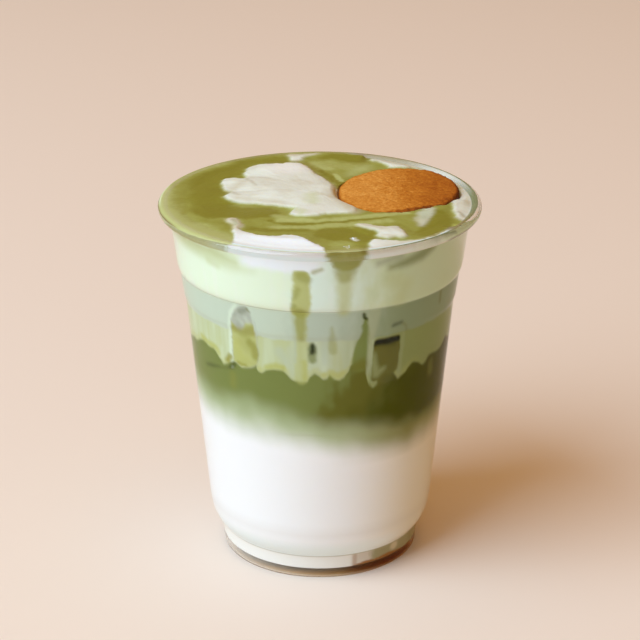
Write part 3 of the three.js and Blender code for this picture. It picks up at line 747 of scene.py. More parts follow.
def top_paint(x, y):
    """The colour of the cream's top, where green tea is stirred into it, with painted light and shade
    on its whites.
    """
    flat = 0 * x
    wander = 0.7 * cloud(x, y, flat, 5.0, seed=21.0)
    fine = 0.16 * cloud(x, y * 0.6, flat, 1.1, seed=31.0)
    u = x + wander + fine
    v = y + 0.8 * cloud(x, y, flat, 5.0, seed=26.0) + fine
    tone = 0.58 + 0.16 * cloud(x * 0.5, y + 0.2 * x, flat, 5.0, seed=41.0)
    for stroke in TONES:
        share = smooth(near_line(u, v, stroke.line, stroke.widths), stroke.soft, -0.3 * stroke.soft)
        tone += (stroke.colour - tone) * share
    tone += 0.10 * cloud(x * 0.8, y * 1.2, flat, 1.6, seed=51.0)
    paint = coat("paste_light", len(x))
    lay(paint, "paste", smooth(tone, -0.05, 0.55))
    lay(paint, "paste_dark", smooth(tone, 0.45, 1.0))
    white = np.zeros(len(x))
    for outline in WHITE_PATCHES.values():
        depth = depth_in(u, v, curved(outline))
        lay(paint, "paste_light", smooth(depth, -1.5, 0.2) * 0.45)
        white = np.maximum(white, smooth(depth, -0.6, 0.8))
    lay(paint, "cream_top", white)
    # Broad patches of painted shade at random over the whites
    lay(paint, "cream_warm_shade", white * smooth(cloud(x, y, flat, 7.0, seed=91.0), 0.0, 0.5) * 0.22)
    # Painted cool light on the near whites
    lay(paint, "cream_cool_light", white * smooth(v, -24, -36) * smooth(u, 24, 2) * 0.9)
    # A painted highlight on the upper lobe of the spoonful
    lay(paint, "cream", white * smooth(np.hypot(u + 10, v - 32), 11, 2) * 0.7)
    put_marks(paint, u, v, STREAKS, wide=1.0)
    return np.clip(paint, 0, 1), white


# Modelling helpers

def spun(name, profile, steps):
    """A piece turned about the cup's axis from a (radius, height) profile in millimetres."""
    start = Vector((profile[0][0], 0, profile[0][1])) * MM
    bpy.ops.mesh.primitive_plane_add(size=MM, location=start)
    piece = bpy.context.object
    piece.name = name
    bpy.ops.object.mode_set(mode="EDIT")
    bpy.ops.mesh.select_all(action="SELECT")
    bpy.ops.mesh.merge(type="CENTER")
    for before, after in zip(profile, profile[1:]):
        step = ((after[0] - before[0]) * MM, 0, (after[1] - before[1]) * MM)
        bpy.ops.mesh.extrude_region_move(TRANSFORM_OT_translate={"value": step})
    bpy.ops.mesh.select_all(action="SELECT")
    bpy.ops.mesh.spin(steps=steps, angle=2 * math.pi, center=(0, 0, 0), axis=(0, 0, 1))
    bpy.ops.mesh.select_all(action="SELECT")
    bpy.ops.mesh.remove_doubles(threshold=0.002 * MM)
    bpy.ops.mesh.normals_make_consistent(inside=False)
    bpy.ops.object.mode_set(mode="OBJECT")
    settle(piece)
    return piece


def choose(*pieces):
    """Selects just these pieces, with the first one active."""
    bpy.ops.object.select_all(action="DESELECT")
    for piece in pieces:
        piece.select_set(True)
    bpy.context.view_layer.objects.active = pieces[0]


def joined(name, pieces):
    """Several meshes made into one named piece."""
    choose(*pieces)
    bpy.ops.object.join()
    pieces[0].name = name
    settle(pieces[0])
    return pieces[0]


def settle(piece):
    """Puts a piece's place into its mesh, so that its object sits at the origin."""
    choose(piece)
    bpy.ops.object.transform_apply(location=True, rotation=True, scale=True)


def corners(piece):
    """A piece's corners in millimetres."""
    points = np.empty(len(piece.data.vertices) * 3)
    piece.data.vertices.foreach_get("co", points)
    return points.reshape(-1, 3) / MM


def move_corners(piece, points):
    """Sets a piece's corners from millimetres."""
    piece.data.vertices.foreach_set("co", (points * MM).ravel())
    piece.data.update()


def smooth_shading(piece, degrees):
    """Smooth shading, with a crisp edge where two faces meet at more than an angle."""
    choose(piece)
    bpy.ops.object.shade_smooth_by_angle(angle=math.radians(degrees))


def paint_piece(piece, colours):
    """Stores a colour for each corner of a piece."""
    layer = piece.data.color_attributes.new("drink", "FLOAT_COLOR", "POINT")
    full = np.ones((len(colours), 4))
    full[:, :3] = colours
    layer.data.foreach_set("color", full.ravel())


def place(piece, node, material):
    """Gives a piece its finish, hangs it under the body and hides the construction node it replaces, if
    any.
    """
    piece.data.materials.clear()
    piece.data.materials.append(material)
    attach(piece, BODY)
    if node:
        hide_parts(node)


def add_node(tree, kind, links=None, **settings):
    """Adds a shader node, sets its fields and inputs, and links its inputs to other sockets."""
    node = tree.nodes.new(kind)
    for key, value in settings.items():
        if hasattr(node, key):
            setattr(node, key, value)
        else:
            node.inputs[key.replace("_", " ")].default_value = value
    for key, source in (links or {}).items():
        tree.links.new(source, node.inputs[key])
    return node


def add_noise(tree, scale, **settings):
    """Adds noise that keeps its place on the piece, and gives its value."""
    place_of = add_node(tree, "ShaderNodeTexCoord")
    noise_node = add_node(tree, "ShaderNodeTexNoise", {"Vector": place_of.outputs["Object"]}, Scale=scale,
                          **settings)
    return noise_node.outputs["Fac"]


def add_bump(tree, height, strength, distance):
    """Adds bumps of a height in millimetres, and gives their normal."""
    bump = add_node(tree, "ShaderNodeBump", {"Height": height}, Strength=strength, Distance=distance * MM)
    return bump.outputs["Normal"]


def add_scaled(tree, value, factor, other):
    """Adds a value times a factor to another value."""
    node = add_node(tree, "ShaderNodeMath", {0: value, 2: other}, operation="MULTIPLY_ADD")
    node.inputs[1].default_value = factor
    return node.outputs[0]


def add_ramp(tree, source, stops):
    """Adds a colour ramp through (place, sRGB hex value) stops."""
    ramp = add_node(tree, "ShaderNodeValToRGB", {"Fac": source})
    while len(ramp.color_ramp.elements) < len(stops):
        ramp.color_ramp.elements.new(0.5)
    for stop, (at, text) in zip(ramp.color_ramp.elements, stops):
        stop.position = at
        stop.color = (*linear(text), 1)
    return ramp


def new_material(name):
    """An empty node material and its tree."""
    material = bpy.data.materials.new(name)
    material.use_nodes = True
    material.node_tree.nodes.clear()
    return material, material.node_tree


def surfaced(material, shader):
    """The material, with a shader for its surface."""
    add_node(material.node_tree, "ShaderNodeOutputMaterial", {"Surface": shader.outputs[0]})
    return material


# Finishes

def clear_pet():
    """Clear PET sheet, thermoformed: glossy and almost colourless, with a soft ripple left by forming,
    and painted table shadow in its foot.
    Rays from lamps pass straight through it, so that the drink behind is lit."""
    material, tree = new_material("clear thermoformed PET")
    place_of = add_node(tree, "ShaderNodeTexCoord")
    spot = add_node(tree, "ShaderNodeSeparateXYZ", {"Vector": place_of.outputs["Object"]})
    rolled = add_node(tree, "ShaderNodeMapRange", {"Value": spot.outputs["Z"]}, From_Min=108.5 * MM,
                      From_Max=110 * MM, To_Min=1.12, To_Max=1.42)
    # The table shows through the foot, and its shadow there is painted in: below the foot's upper edge,
    # which runs a little aslant, the sheet is tinted darker towards the right
    slant = add_scaled(tree, spot.outputs["X"], -0.026, spot.outputs["Z"])
    foot = add_node(tree, "ShaderNodeMapRange", {"Value": slant}, From_Min=1.5 * MM, From_Max=2.6 * MM)
    across = add_node(tree, "ShaderNodeMapRange", {"Value": spot.outputs["X"]}, From_Min=-30 * MM,
                      From_Max=30 * MM)
    # Painted table shadow, pale on the left and brown on the right
    hollow = add_ramp(tree, across.outputs["Result"],
                      [(0.1, "#fdf5ea"), (0.4, "#fbebd4"), (0.62, "#f7e2c0"), (0.84, "#deaa72")])
    foot_shadow_tint = add_node(tree, "ShaderNodeMix", {"Factor": foot.outputs["Result"]}, data_type="RGBA")
    tree.links.new(hollow.outputs["Color"], foot_shadow_tint.inputs["A"])
    foot_shadow_tint.inputs["B"].default_value = (*linear("#fdfefd"), 1)
    sheet = add_node(tree, "ShaderNodeBsdfPrincipled",
                     {"Normal": add_bump(tree, add_noise(tree, 55.0, Detail=1.0), 0.10, 0.5),
                      "IOR": rolled.outputs["Result"], "Base Color": foot_shadow_tint.outputs["Result"]},
                     Roughness=0.03, Transmission_Weight=1.0)
    clear = add_node(tree, "ShaderNodeBsdfTransparent", Color=(*linear("#fefefe"), 1))
    path = add_node(tree, "ShaderNodeLightPath")
    either = add_node(tree, "ShaderNodeMath", {0: path.outputs["Is Shadow Ray"],
                                               1: path.outputs["Is Diffuse Ray"]}, operation="MAXIMUM")
    return surfaced(material, add_node(tree, "ShaderNodeMixShader", {
        0: either.outputs[0], 1: sheet.outputs[0], 2: clear.outputs[0]}))


def drink_finish(name, roughness, gloss, pores, scatter):
    """A milky drink or whipped cream: light goes a little way in, and its surface has fine pores."""
    material, tree = new_material(name)
    colour = add_node(tree, "ShaderNodeAttribute", attribute_name="drink")
    foam = add_noise(tree, 1 / (1.6 * MM), Detail=4.0, Roughness=0.6)
    return surfaced(material, add_node(
        tree, "ShaderNodeBsdfPrincipled",
        {"Base Color": colour.outputs["Color"], "Normal": add_bump(tree, foam, pores, 0.35)},
        Roughness=roughness, IOR=1.36, Specular_IOR_Level=gloss, Subsurface_Weight=scatter,
        Subsurface_Radius=(2.4, 2.0, 1.4), Subsurface_Scale=0.9 * MM))


def baked_biscuit():
    """Baked butter biscuit: a dry sandy crumb, lighter where it rose and browner at its edge."""
    material, tree = new_material("baked butter biscuit")
    crumb = add_noise(tree, 1 / (0.75 * MM), Detail=5.0, Roughness=0.7)
    blotch = add_noise(tree, 1 / (6 * MM), Detail=3.0, Roughness=0.55)
    bake = add_node(tree, "ShaderNodeAttribute", attribute_name="bake")
    browned = add_scaled(tree, crumb, 0.5, add_scaled(tree, blotch, 0.35, bake.outputs["Fac"]))
    ramp = add_ramp(tree, browned, [(0.28, "#e4a652"), (0.42, "#d18c38"), (0.58, "#bb7220"),
                                    (0.8, "#a35812"), (1.0, "#6d360c")])
    return surfaced(material, add_node(
        tree, "ShaderNodeBsdfPrincipled",
        {"Base Color": ramp.outputs["Color"], "Normal": add_bump(tree, crumb, 0.4, 0.4)},
        Roughness=0.85, Specular_IOR_Level=0.15))


def studio_floor():
    """A matt painted table top, pale and warm."""
    material, tree = new_material("pale matt table top")
    return surfaced(material, add_node(tree, "ShaderNodeBsdfPrincipled", Base_Color=(*linear("#f0e0d0"), 1),
                                       Roughness=0.9))


# Pieces

class LATTE_OT_cup(bpy.types.Operator):
    """Clear cup with a rolled rim, two shoulders, a rounded corner and a foot ring"""
    bl_idname = "latte.cup"
    bl_label = "Cup"

    def execute(self, context):
        floor = [(r, FLOOR_LEVEL + FLOOR_RISE * (1 - (r / FLOOR_RADIUS) ** 2)) for r in FLOOR_RINGS]
        under = [(r, z - WALL) for r, z in floor]
        skirt = eased([under[-1], (28.3, FLOOR_LEVEL - WALL), (28.9, 0.0), FOOT, OUTSIDE[1]], 0.35)
        inside = [(r - WALL, z) for r, z in OUTSIDE if z > INSIDE_FROM]
        moat = eased(FOOT_HOLLOW + [(28.9, FLOOR_LEVEL), floor[-1]], 0.3)
        arc = [bead_point(angle, 1.0) for angle in np.linspace(*BEAD_TURNS, 37)]
        outside = [(r, z) for r, z in OUTSIDE if z > 0.5]
        profile = under[:-1] + skirt + outside + arc + inside[::-1] + moat + floor[-2::-1]
        piece = spun("clear_cup", profile, CUP_STEPS)
        smooth_shading(piece, 50)
        place(piece, "cup", clear_pet())
        return {"FINISHED"}


def bead_point(degrees, share):
    """A point of the rolled rim's section, by its angle and its share of the full section."""
    angle = math.radians(degrees)
    return (BEAD_RADIUS + share * BEAD_HALF_WIDTH * math.cos(angle),
            BEAD_LEVEL + share * BEAD_HALF_HEIGHT * math.sin(angle))


def wall_levels(low, high, step):
    """Heights from low to high, about a step apart."""
    return np.linspace(low, high, max(2, int(round((high - low) / step)) + 1))


def layer_piece(name, low, high, step, steps, below, above=None):
    """A layer of the drink as a turned piece between two levels, shaped to its neighbours' edges."""
    levels = wall_levels(low, high, step)
    side = [(float(wall_radius(z)), float(z)) for z in levels]
    profile = [(0, low), (0.6 * side[0][0], low)] + side + [(0.6 * side[-1][0], high), (0, high)]
    piece = spun(name, profile, steps)
    points = corners(piece)
    angle = wall_angle(points[:, 0], points[:, 1])
    share = (points[:, 2] - low) / (high - low)
    bottom = np.interp(angle, *below, period=360)
    top = high if above is None else np.interp(angle, *above, period=360)
    points[:, 2] = bottom + share * (top - bottom)
    radius = np.hypot(points[:, 0], points[:, 1])
    at_wall = radius > 0.8 * wall_radius(points[:, 2])
    scale = np.where(at_wall, wall_radius(points[:, 2]) / np.maximum(radius, 1e-6), 1)
    points[:, :2] *= scale[:, None]
    move_corners(piece, points)
    smooth_shading(piece, 50)
    paint_piece(piece, wall_paint(wall_angle(points[:, 0], points[:, 1]), points[:, 2]))
    return piece


class LATTE_OT_drink(bpy.types.Operator):
    """Milk, matcha and the cloudy layer, each out to the cup's wall"""
    bl_idname = "latte.drink"
    bl_label = "Drink"

    def execute(self, context):
        steps = context.scene.latte.round_steps
        milk_edge = (MILK_ANGLES, MILK_LEVELS)
        streak_edge = (STREAK_ANGLES, STREAK_LEVELS)
        finish = drink_finish("cold milk and tea behind PET", 0.5, 0.05, 0.1, 0.08)
        bottom = FLOOR_LEVEL + 0.02
        levels = list(np.arange(3.2, 9.2, 0.36)) + MILK_ROWS + list(np.arange(44, 50.6, 0.6))
        side = [(float(wall_radius(z)), float(z)) for z in levels]
        foot = [(0, bottom + FLOOR_RISE), (12, bottom + 0.9), (24, bottom), (29.2, bottom),
                (29.75, bottom + 0.25)]
        piece = spun("milk_fill", foot + side + [(20, levels[-1]), (0, levels[-1])], steps)
        points = corners(piece)
        angle = wall_angle(points[:, 0], points[:, 1])
        top = np.interp(angle, *milk_edge, period=360)
        rise = smooth(points[:, 2], 40, levels[-1])
        points[:, 2] += (top - levels[-1]) * rise
        move_corners(piece, points)
        smooth_shading(piece, 50)
        paint_piece(piece, wall_paint(angle, points[:, 2]))
        place(piece, "milk", finish)
        piece = layer_piece("matcha_fill", MILK_TOP, MATCHA_TOP, 0.5, steps, milk_edge, streak_edge)
        place(piece, "matcha", finish)
        piece = layer_piece("cloudy_fill", MATCHA_TOP, CREAM_BASE, 0.42, steps, streak_edge)
        place(piece, "cloudy_layer", finish)
        return {"FINISHED"}


BISCUIT_LOW = Vector(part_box("biscuit")[0]) / MM
BISCUIT_HIGH = Vector(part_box("biscuit")[1]) / MM
BISCUIT_X = (BISCUIT_LOW.x + BISCUIT_HIGH.x) / 2
BISCUIT_Y = (BISCUIT_LOW.y + BISCUIT_HIGH.y) / 2
BISCUIT_THICKNESS = 4.6
BISCUIT_TOP = 113.9
BISCUIT_BEND = 1.3
BISCUIT_DOME = 0.5
TILT_BACK = math.radians(4.0)
TILT_RIGHT = math.radians(-2.0)
# Where the cream laps over the biscuit's near edge
LAP_LINE = [(13, -12.2), (15, -12), (20.3, -11.4), (25.8, -10.1), (31.2, -8.8), (37.1, -7.4), (40.4, -3.2)]
# How far the cream laps over the rolled rim, round the cup: where it ends on the rim's section, in degrees
RIM_LAP = [
    (-180, 20), (-75, 20), (-60, 28), (-45, 40), (-30, 64), (-20, 70), (0, 72), (20, 70), (50, 66),
    (60, 78), (120, 84), (158, 84), (168, 60), (175, 20), (180, 20),
]
LAP_FROM = 200
LAP_BACK = 155


def biscuit_plane(x, y):
    """The height of the biscuit's flat top at a point."""
    return BISCUIT_TOP + (y - BISCUIT_Y) * math.tan(TILT_BACK) - (x - BISCUIT_X) * math.tan(TILT_RIGHT)


class LATTE_OT_cream(bpy.types.Operator):
    """Whipped cream with green tea stirred into its top"""
    bl_idname = "latte.cream"
    bl_label = "Cream"

    def execute(self, context):
        side = [(float(wall_radius(z)), float(z)) for z in wall_levels(CREAM_BASE, NECK_LEVEL, 0.45)]
        under = [bead_point(turn, 1.02) for turn in np.linspace(LAP_FROM, 20, 12)]
        over = [bead_point(turn, 1.07) for turn in np.linspace(20, LAP_BACK, 14)]
        inner = [(r, CREAM_EDGE) for r in np.arange(45.6, 0.6, -0.5)]
        profile = [(0, CREAM_BASE), (25, CREAM_BASE)] + side + [(45.5, 110.5)] + under + over + inner
        profile += [(0, CREAM_EDGE)]
        piece = spun("cream_cap", [(float(r), float(z)) for r, z in profile], 540)
        follow_top(piece)
        points = corners(piece)
        angle = wall_angle(points[:, 0], points[:, 1])
        radius = np.hypot(points[:, 0], points[:, 1])
        turn, film = lap_over_rim(points, angle, radius)
        on_top = (points[:, 2] > TOP_FROM) & (radius < CREAM_RADIUS) & ~film
        full = smooth(np.interp(angle, *zip(*RIM_LAP)), 77, 72)
        radius = np.hypot(points[:, 0], points[:, 1])
        brim = FLAT_LEVEL + BRIM_RISE * smooth(radius, 39.5, 47.3)
        inward = on_top | (film & (turn > 88) & (points[:, 2] > 112))
        raised = points[:, 2] + (np.maximum(points[:, 2], brim) - points[:, 2]) * full
        points[inward, 2] = raised[inward]
        nest_biscuit(points, on_top)
        drop = (CAMERA_HEIGHT - FLAT_LEVEL) / (CAMERA_HEIGHT - points[:, 2])
        flat_x = points[:, 0] * drop
        flat_y = (points[:, 1] + CAMERA_BACK) * drop - CAMERA_BACK
        paint = coat("cream", len(points))
        at_wall = ~on_top & ~film & (radius > 30)
        paint[at_wall] = wall_paint(angle[at_wall], points[at_wall, 2])
        white = np.zeros(len(points))
        top = on_top | film
        paint[top], white[top] = top_paint(flat_x[top], flat_y[top])
        rim = paint[film]
        paint_rim(rim, angle[film], turn[film])
        paint[film] = rim
        radius = np.hypot(points[:, 0], points[:, 1])
        clear = smooth(radius, 46, 43) * smooth(biscuit_reach(points), 19.4, 21)
        lift = 0.55 * white + 0.04 * cloud(points[:, 0], points[:, 1], 0 * angle, 2.6, seed=61.0)
        points[on_top, 2] += (lift * clear)[on_top]
        move_corners(piece, points)
        smooth_shading(piece, 70)
        paint_piece(piece, paint)
        finish = drink_finish("whipped cream stirred with green tea", 0.42, 0.4, 0.14, 0.25)
        place(piece, "cream", finish)
        return {"FINISHED"}


def lap_over_rim(points, angle, radius):
    """Draws the cream's lip over the rolled rim as far as it goes at each angle: each point's turn on
    the rim's section, and which points are on the lip."""
    across = (radius - BEAD_RADIUS) / BEAD_HALF_WIDTH
    up = (points[:, 2] - BEAD_LEVEL) / BEAD_HALF_HEIGHT
    share = np.hypot(across, up)
    turn = np.degrees(np.arctan2(up, across)) % 360
    film = (share > 1.01) & (share < 1.08) & (turn < LAP_FROM + 1)
    start = np.where(share < 1.045, LAP_FROM, LAP_BACK)
    end = np.interp(angle, *zip(*RIM_LAP)) + 5 * cloud(angle * 0.3, 0 * angle, 0 * angle, 1.0, seed=83.0)
    turn = start - (start - turn) / (start - 20) * (start - end)
    radians = np.radians(turn)
    new = BEAD_RADIUS + share * BEAD_HALF_WIDTH * np.cos(radians)
    scale = np.where(film, new / np.maximum(radius, 1e-6), 1)
    points[:, :2] *= scale[:, None]
    points[film, 2] = (BEAD_LEVEL + share * BEAD_HALF_HEIGHT * np.sin(radians))[film]
    return turn, film


def paint_rim(paint, angle, turn):
    """Colours the cream's thin lip over the rim: on the left a painted highlight and a brown painted shadow
    line, a grey-green band on the right.
    """
    end = np.interp(angle, *zip(*RIM_LAP))
    left = smooth(angle, -104, -92) * smooth(angle, -56, -66)
    # A painted highlight on the lip, left
    lay(paint, "rim_highlight", smooth(np.abs(angle + 96), 16, 6) * smooth(np.abs(turn - 52), 26, 10) * 0.9)
    # A brown painted shadow line along the lip's end, left
    lay(paint, "rim_brown", left * smooth(turn, end + 26, end + 12))
    near = smooth(angle, -62, -40) * smooth(angle, 58, 50)
    pale = smooth(paint[:, 2], 0.3, 0.5)
    # Painted cool light on the pale lip, near side
    lay(paint, "rim_cool_light", near * pale * smooth(turn, 125, 95) * 0.85)
    lay(paint, "cream_shade", near * smooth(turn, end + 16, end + 8) * 0.7)
    lay(paint, "rim_band", near * smooth(angle, 12, 26) * smooth(turn, end + 20, end + 10))
    band = smooth(angle, 50, 56) * smooth(angle, 170, 164)
    lay(paint, "rim_band", band)
    lay(paint, "cream_top", band * smooth(angle, 92, 122) * smooth(turn, 96, 108) * 0.9)
    lay(paint, "rim_brown", band * np.maximum(smooth(angle, 78, 62), smooth(angle, 120, 150)) * 0.8)


def biscuit_reach(points):
    """How far points lie from the biscuit's middle in plan."""
    return np.hypot(points[:, 0] - BISCUIT_X, points[:, 1] - BISCUIT_Y)


def nest_biscuit(points, on_top):
    """Beds the biscuit in the cream: up to its edge all round, and over its near edge at the lap line."""
    reach = biscuit_reach(points)
    radius = bpy.context.scene.latte.biscuit_size / MM / 2
    plane = biscuit_plane(points[:, 0], points[:, 1])
    z = points[:, 2]
    bed = np.minimum(np.maximum(z, plane - 2.2), plane - 1.0)
    z = z + (bed - z) * smooth(reach, radius + 0.4, radius - 0.8)
    rim = smooth(np.abs(reach - radius - 0.1), 1.5, 0.4)
    z = z + (np.minimum(plane - 0.7, z + 0.5) - z) * rim
    line = np.array(LAP_LINE)
    ahead = np.interp(points[:, 0], line[:, 0], line[:, 1]) - points[:, 1]
    lap = smooth(ahead, -0.35, 0.25) * smooth(ahead, 6.0, 2.2)
    lap *= smooth(points[:, 0], 13.5, 17) * smooth(points[:, 0], 40, 36)
    z = np.maximum(z, z + (plane + 0.32 - z) * lap)
    points[on_top, 2] = z[on_top]


def follow_top(piece):
    """Lays the top of the cream on the construction model's top, and smooths its facets away."""
    points = corners(piece)
    radius = np.hypot(points[:, 0], points[:, 1])
    group = piece.vertex_groups.new(name="top")
    chosen = np.nonzero((points[:, 2] > TOP_FROM) & (radius < CREAM_RADIUS - 0.35))[0]
    group.add([int(i) for i in chosen], 1.0, "REPLACE")
    wrap = piece.modifiers.new("wrap", "SHRINKWRAP")
    wrap.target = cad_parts["cream"]
    wrap.wrap_method = "PROJECT"
    wrap.use_project_z = True
    wrap.use_negative_direction = True
    wrap.use_positive_direction = True
    wrap.vertex_group = "top"
    relax = piece.modifiers.new("relax", "SMOOTH")
    relax.factor = 0.5
    relax.iterations = 6
    relax.vertex_group = "top"
    choose(piece)
    bpy.ops.object.modifier_apply(modifier="wrap")
    bpy.ops.object.modifier_apply(modifier="relax")
    piece.vertex_groups.clear()


class LATTE_OT_biscuit(bpy.types.Operator):
    """Round biscuit with a sandy crumb, lying in the cream"""
    bl_idname = "latte.biscuit"
    bl_label = "Biscuit"

    def execute(self, context):
        half = BISCUIT_THICKNESS / 2
        size = context.scene.latte.biscuit_size / MM / 2
        bend = BISCUIT_BEND
        edge = [(size - bend + bend * math.cos(a), math.copysign(half - bend, a) + bend * math.sin(a))
                for a in np.linspace(-math.pi / 2, math.pi / 2, 16)]
        top = [(float(r), half + BISCUIT_DOME * (1 - (r / size) ** 2))
               for r in np.arange(size - 1.6, 0.4, -0.42)]
        profile = [(0, -half), (8, -half), (14, -half)] + edge + top + [(0, half + BISCUIT_DOME)]
        piece = spun("biscuit_round", profile, 260)
        points = corners(piece)
        angle = np.arctan2(points[:, 1], points[:, 0])
        uneven = 1 + 0.005 * np.sin(3 * angle + 0.5) + 0.005 * np.sin(7 * angle + 1.9)
        points[:, :2] *= uneven[:, None]
        radius = np.hypot(points[:, 0], points[:, 1])
        crumb = cloud(points[:, 0], points[:, 1], points[:, 2], 1.3, seed=71.0, octaves=4)
        broad = cloud(points[:, 0], points[:, 1], points[:, 2], 7.0, seed=77.0, octaves=2)
        points *= (1 + 0.006 * crumb * smooth(radius, 14, 18))[:, None]
        points[:, 2] += 0.16 * crumb + 0.18 * broad
        line = np.array(LAP_LINE) - (BISCUIT_X, BISCUIT_Y)
        near_lap = points[:, 1] - np.interp(points[:, 0], line[:, 0], line[:, 1])
        # Besides the browner edge, it is darker towards the right side and along the line where the cream
        # laps over
        bake = 0.3 * smooth(radius, size - 1.3, size + 0.1) + 0.34 * smooth(points[:, 0], -10, 17)
        bake += 0.3 * smooth(near_lap, 1.6, 0.3) * smooth(points[:, 0], -10, -6) + 0.10 * crumb
        move_corners(piece, points)
        tilt_and_place(piece)
        layer = piece.data.attributes.new("bake", "FLOAT", "POINT")
        layer.data.foreach_set("value", np.clip(bake, 0, 1))
        smooth_shading(piece, 60)
        place(piece, "biscuit", baked_biscuit())
        return {"FINISHED"}


def tilt_and_place(piece):
    """Tilts the biscuit as it lies and moves it to its place."""
    choose(piece)
    piece.rotation_euler = (TILT_BACK, 0, 0)
    bpy.ops.object.transform_apply(rotation=True)
    piece.rotation_euler = (0, TILT_RIGHT, 0)
    bpy.ops.object.transform_apply(rotation=True)
    piece.location = Vector((BISCUIT_X, BISCUIT_Y, BISCUIT_TOP - BISCUIT_THICKNESS / 2)) * MM
    bpy.ops.object.transform_apply(location=True)


# Ice cubes that touch the wall: angle, height in millimetres and lean in degrees. The others stand round
# the back. A cube's widths, and how far its middle stands in from the wall, are shares of its side, and
# its bevel and its mesh's grid are in millimetres
WALL_ICE = [(-33.2, 82, 4), (29, 75.4, -3)]
BACK_ICE = 7
BACK_FROM = 80
BACK_SPAN = 200
SEED = 7
ICE_WIDTHS = (0.46, 1, 0.8)
ICE_MIDDLE = 0.44
ICE_BEVEL = 1.6
ICE_GRID = 0.5
ABOVE_ALL = 130


def ice_places():
    """Where the ice cubes stand: those seen from the near side, then others round the back."""
    draw = random.Random(SEED)
    places = list(WALL_ICE)
    for i in range(BACK_ICE):
        angle = BACK_FROM + BACK_SPAN * (i + 0.5) / BACK_ICE + draw.uniform(-6, 6)
        places.append((angle, draw.uniform(74, 84), draw.uniform(-14, 14)))
    return places


class LATTE_OT_ice(bpy.types.Operator):
    """Ice cubes in the drink, each with one side worn flush with the wall"""
    bl_idname = "latte.ice"
    bl_label = "Ice"

    def execute(self, context):
        side = context.scene.latte.cube_size
        cubes = []
        for angle, level, lean in ice_places():
            turn = math.radians(angle)
            near = float(wall_radius(level)) * MM - side * ICE_MIDDLE
            bpy.ops.mesh.primitive_cube_add(
                size=side, location=(near * math.sin(turn), -near * math.cos(turn), level * MM),
                rotation=(0, math.radians(lean), turn), scale=ICE_WIDTHS)
            cube = context.object
            bpy.ops.object.mode_set(mode="EDIT")
            bpy.ops.mesh.select_all(action="SELECT")
            bpy.ops.mesh.bevel(offset=ICE_BEVEL * MM, segments=4, affect="EDGES")
            bpy.ops.object.mode_set(mode="OBJECT")
            settle(cube)
            grid = cube.modifiers.new("even grid", "REMESH")
            grid.mode = "VOXEL"
            grid.voxel_size = ICE_GRID * MM
            bpy.ops.object.modifier_apply(modifier="even grid")
            cubes.append(cube)
        piece = joined("ice_cubes", cubes)
        points = corners(piece)
        radius = np.hypot(points[:, 0], points[:, 1])
        worn = wall_radius(points[:, 2], WALL - INTO_WALL - 0.05)
        points[:, :2] *= np.minimum(1, worn / np.maximum(radius, 1e-6))[:, None]
        move_corners(piece, points)
        smooth_shading(piece, 60)
        paint_piece(piece, wall_paint(wall_angle(points[:, 0], points[:, 1]), points[:, 2]))
        place(piece, None, drink_finish("ice worn by the drink", 0.2, 0.3, 0.05, 0.1))
        return {"FINISHED"}


# Bubbles in the green tea on the top, as middle and spread in millimetres on the flat level, and count
BUBBLE_CLUSTERS = [((9.9, -35), (0.5, 0.8), 2), ((8.6, -42), (2.0, 1.2), 3)]


class LATTE_OT_bubbles(bpy.types.Operator):
    """Small bubbles that stand in the top of the cream"""
    bl_idname = "latte.bubbles"
    bl_label = "Bubbles"

    def execute(self, context):
        draw = random.Random(SEED)
        cream = bpy.data.objects["cream_cap"]
        bubbles = []
        for middle, spread, count in BUBBLE_CLUSTERS:
            for i in range(count):
                x = middle[0] + draw.uniform(-1, 1) * spread[0]
                y = middle[1] + draw.uniform(-1, 1) * spread[1]
                size = draw.uniform(0.2, 0.42)
                spot = cream.ray_cast((x * MM, y * MM, ABOVE_ALL * MM), (0, 0, -1))[1]
                bpy.ops.mesh.primitive_ico_sphere_add(subdivisions=2, radius=size * MM, location=spot)
                bubbles.append(context.object)
        piece = joined("bubbles", bubbles)
        smooth_shading(piece, 180)
        points = corners(piece)
        paint = top_paint(points[:, 0], points[:, 1])[0]
        # The bubbles are painted pale in the cool light colour
        lay(paint, "cream_cool_light", 0.75)
        paint_piece(piece, paint)
        place(piece, None, drink_finish("bubbles of milk and tea", 0.12, 0.6, 0.02, 0.2))
        return {"FINISHED"}


# The stage

CAMERA_PLACE = (0, -CAMERA_BACK * MM, CAMERA_HEIGHT * MM)
CAMERA_PITCH = 68.33
CAMERA_LENS = 122.79


class LATTE_OT_stage(bpy.types.Operator):
    """Pale floor, soft studio lights and the camera"""
    bl_idname = "latte.stage"
    bl_label = "Stage"

    def execute(self, context):
        bpy.ops.mesh.primitive_grid_add(x_subdivisions=4, y_subdivisions=4, size=12, location=(0, 3, 0))
        floor = context.object
        floor.name = "table_top"
        settle(floor)
        floor.data.materials.append(studio_floor())
        soft_light("key", azimuth=-57, height=44, distance=2.6, size=2.1, power=88, colour="#cbe6ff")
        soft_light("ceiling", azimuth=0, height=90, distance=2.0, size=1.6, power=8, colour="#ffc27a")
        soft_light("front fill", azimuth=-8, height=26, distance=2.4, size=1.8, power=7, colour="#86c2ff")
        world = bpy.data.worlds.new("warm room")
        world.use_nodes = True
        background = world.node_tree.nodes["Background"]
        background.inputs["Color"].default_value = (*linear("#ffcb84"), 1)
        background.inputs["Strength"].default_value = 0.34
        context.scene.world = world
        bpy.ops.object.camera_add(location=CAMERA_PLACE, rotation=(math.radians(CAMERA_PITCH), 0, 0))
        camera = context.object
        camera.data.lens = CAMERA_LENS
        camera.data.sensor_width = 36
        camera.data.clip_start = 0.01
        context.scene.camera = camera
        context.scene.view_settings.view_transform = "Standard"
        return {"FINISHED"}


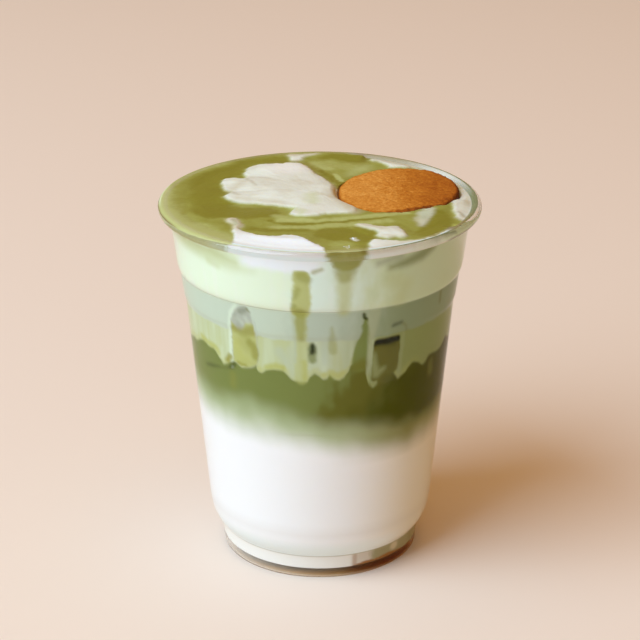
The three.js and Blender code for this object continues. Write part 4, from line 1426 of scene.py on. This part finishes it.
def soft_light(name, azimuth, height, distance, size, power, colour):
    """A square soft box aimed at the cup, by its azimuth from the near side and its height in degrees."""
    turn = math.radians(azimuth)
    rise = math.radians(height)
    aim = Vector((0, 0, 0.06))
    way = Vector((math.sin(turn) * math.cos(rise), -math.cos(turn) * math.cos(rise), math.sin(rise)))
    bpy.ops.object.light_add(type="AREA", location=aim + way * distance)
    lamp = bpy.context.object
    lamp.name = name
    lamp.rotation_euler = way.to_track_quat("Z", "Y").to_euler()
    lamp.data.size = size
    lamp.data.energy = power
    lamp.data.color = linear(colour)


class LATTE_PT_panel(bpy.types.Panel):
    """Buttons for the latte's pieces"""
    bl_idname = "LATTE_PT_panel"
    bl_label = "Iced matcha latte"
    bl_space_type = "VIEW_3D"
    bl_region_type = "UI"
    bl_category = "Latte"

    def draw(self, context):
        for prop in LatteSettings.__annotations__:
            self.layout.prop(context.scene.latte, prop)
        for prop in LatteColours.__annotations__:
            self.layout.prop(context.scene.latte_colours, prop)
        for kind in OPERATORS:
            self.layout.operator(kind.bl_idname)


OPERATORS = (LATTE_OT_stage, LATTE_OT_cup, LATTE_OT_drink, LATTE_OT_ice, LATTE_OT_cream,
             LATTE_OT_biscuit, LATTE_OT_bubbles)
CLASSES = (LatteSettings, LatteColours, *OPERATORS, LATTE_PT_panel)


def register():
    """Adds the classes and the settings."""
    for kind in CLASSES:
        bpy.utils.register_class(kind)
    bpy.types.Scene.latte = PointerProperty(type=LatteSettings)
    bpy.types.Scene.latte_colours = PointerProperty(type=LatteColours)


def unregister():
    """Takes the settings and the classes away again."""
    del bpy.types.Scene.latte_colours
    del bpy.types.Scene.latte
    for kind in reversed(CLASSES):
        bpy.utils.unregister_class(kind)


def main():
    """Registers the add-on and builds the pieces."""
    register()
    bpy.ops.latte.stage()
    bpy.ops.latte.cup()
    bpy.ops.latte.drink()
    bpy.ops.latte.ice()
    bpy.ops.latte.cream()
    bpy.ops.latte.biscuit()
    bpy.ops.latte.bubbles()


if __name__ == "__main__":
    main()
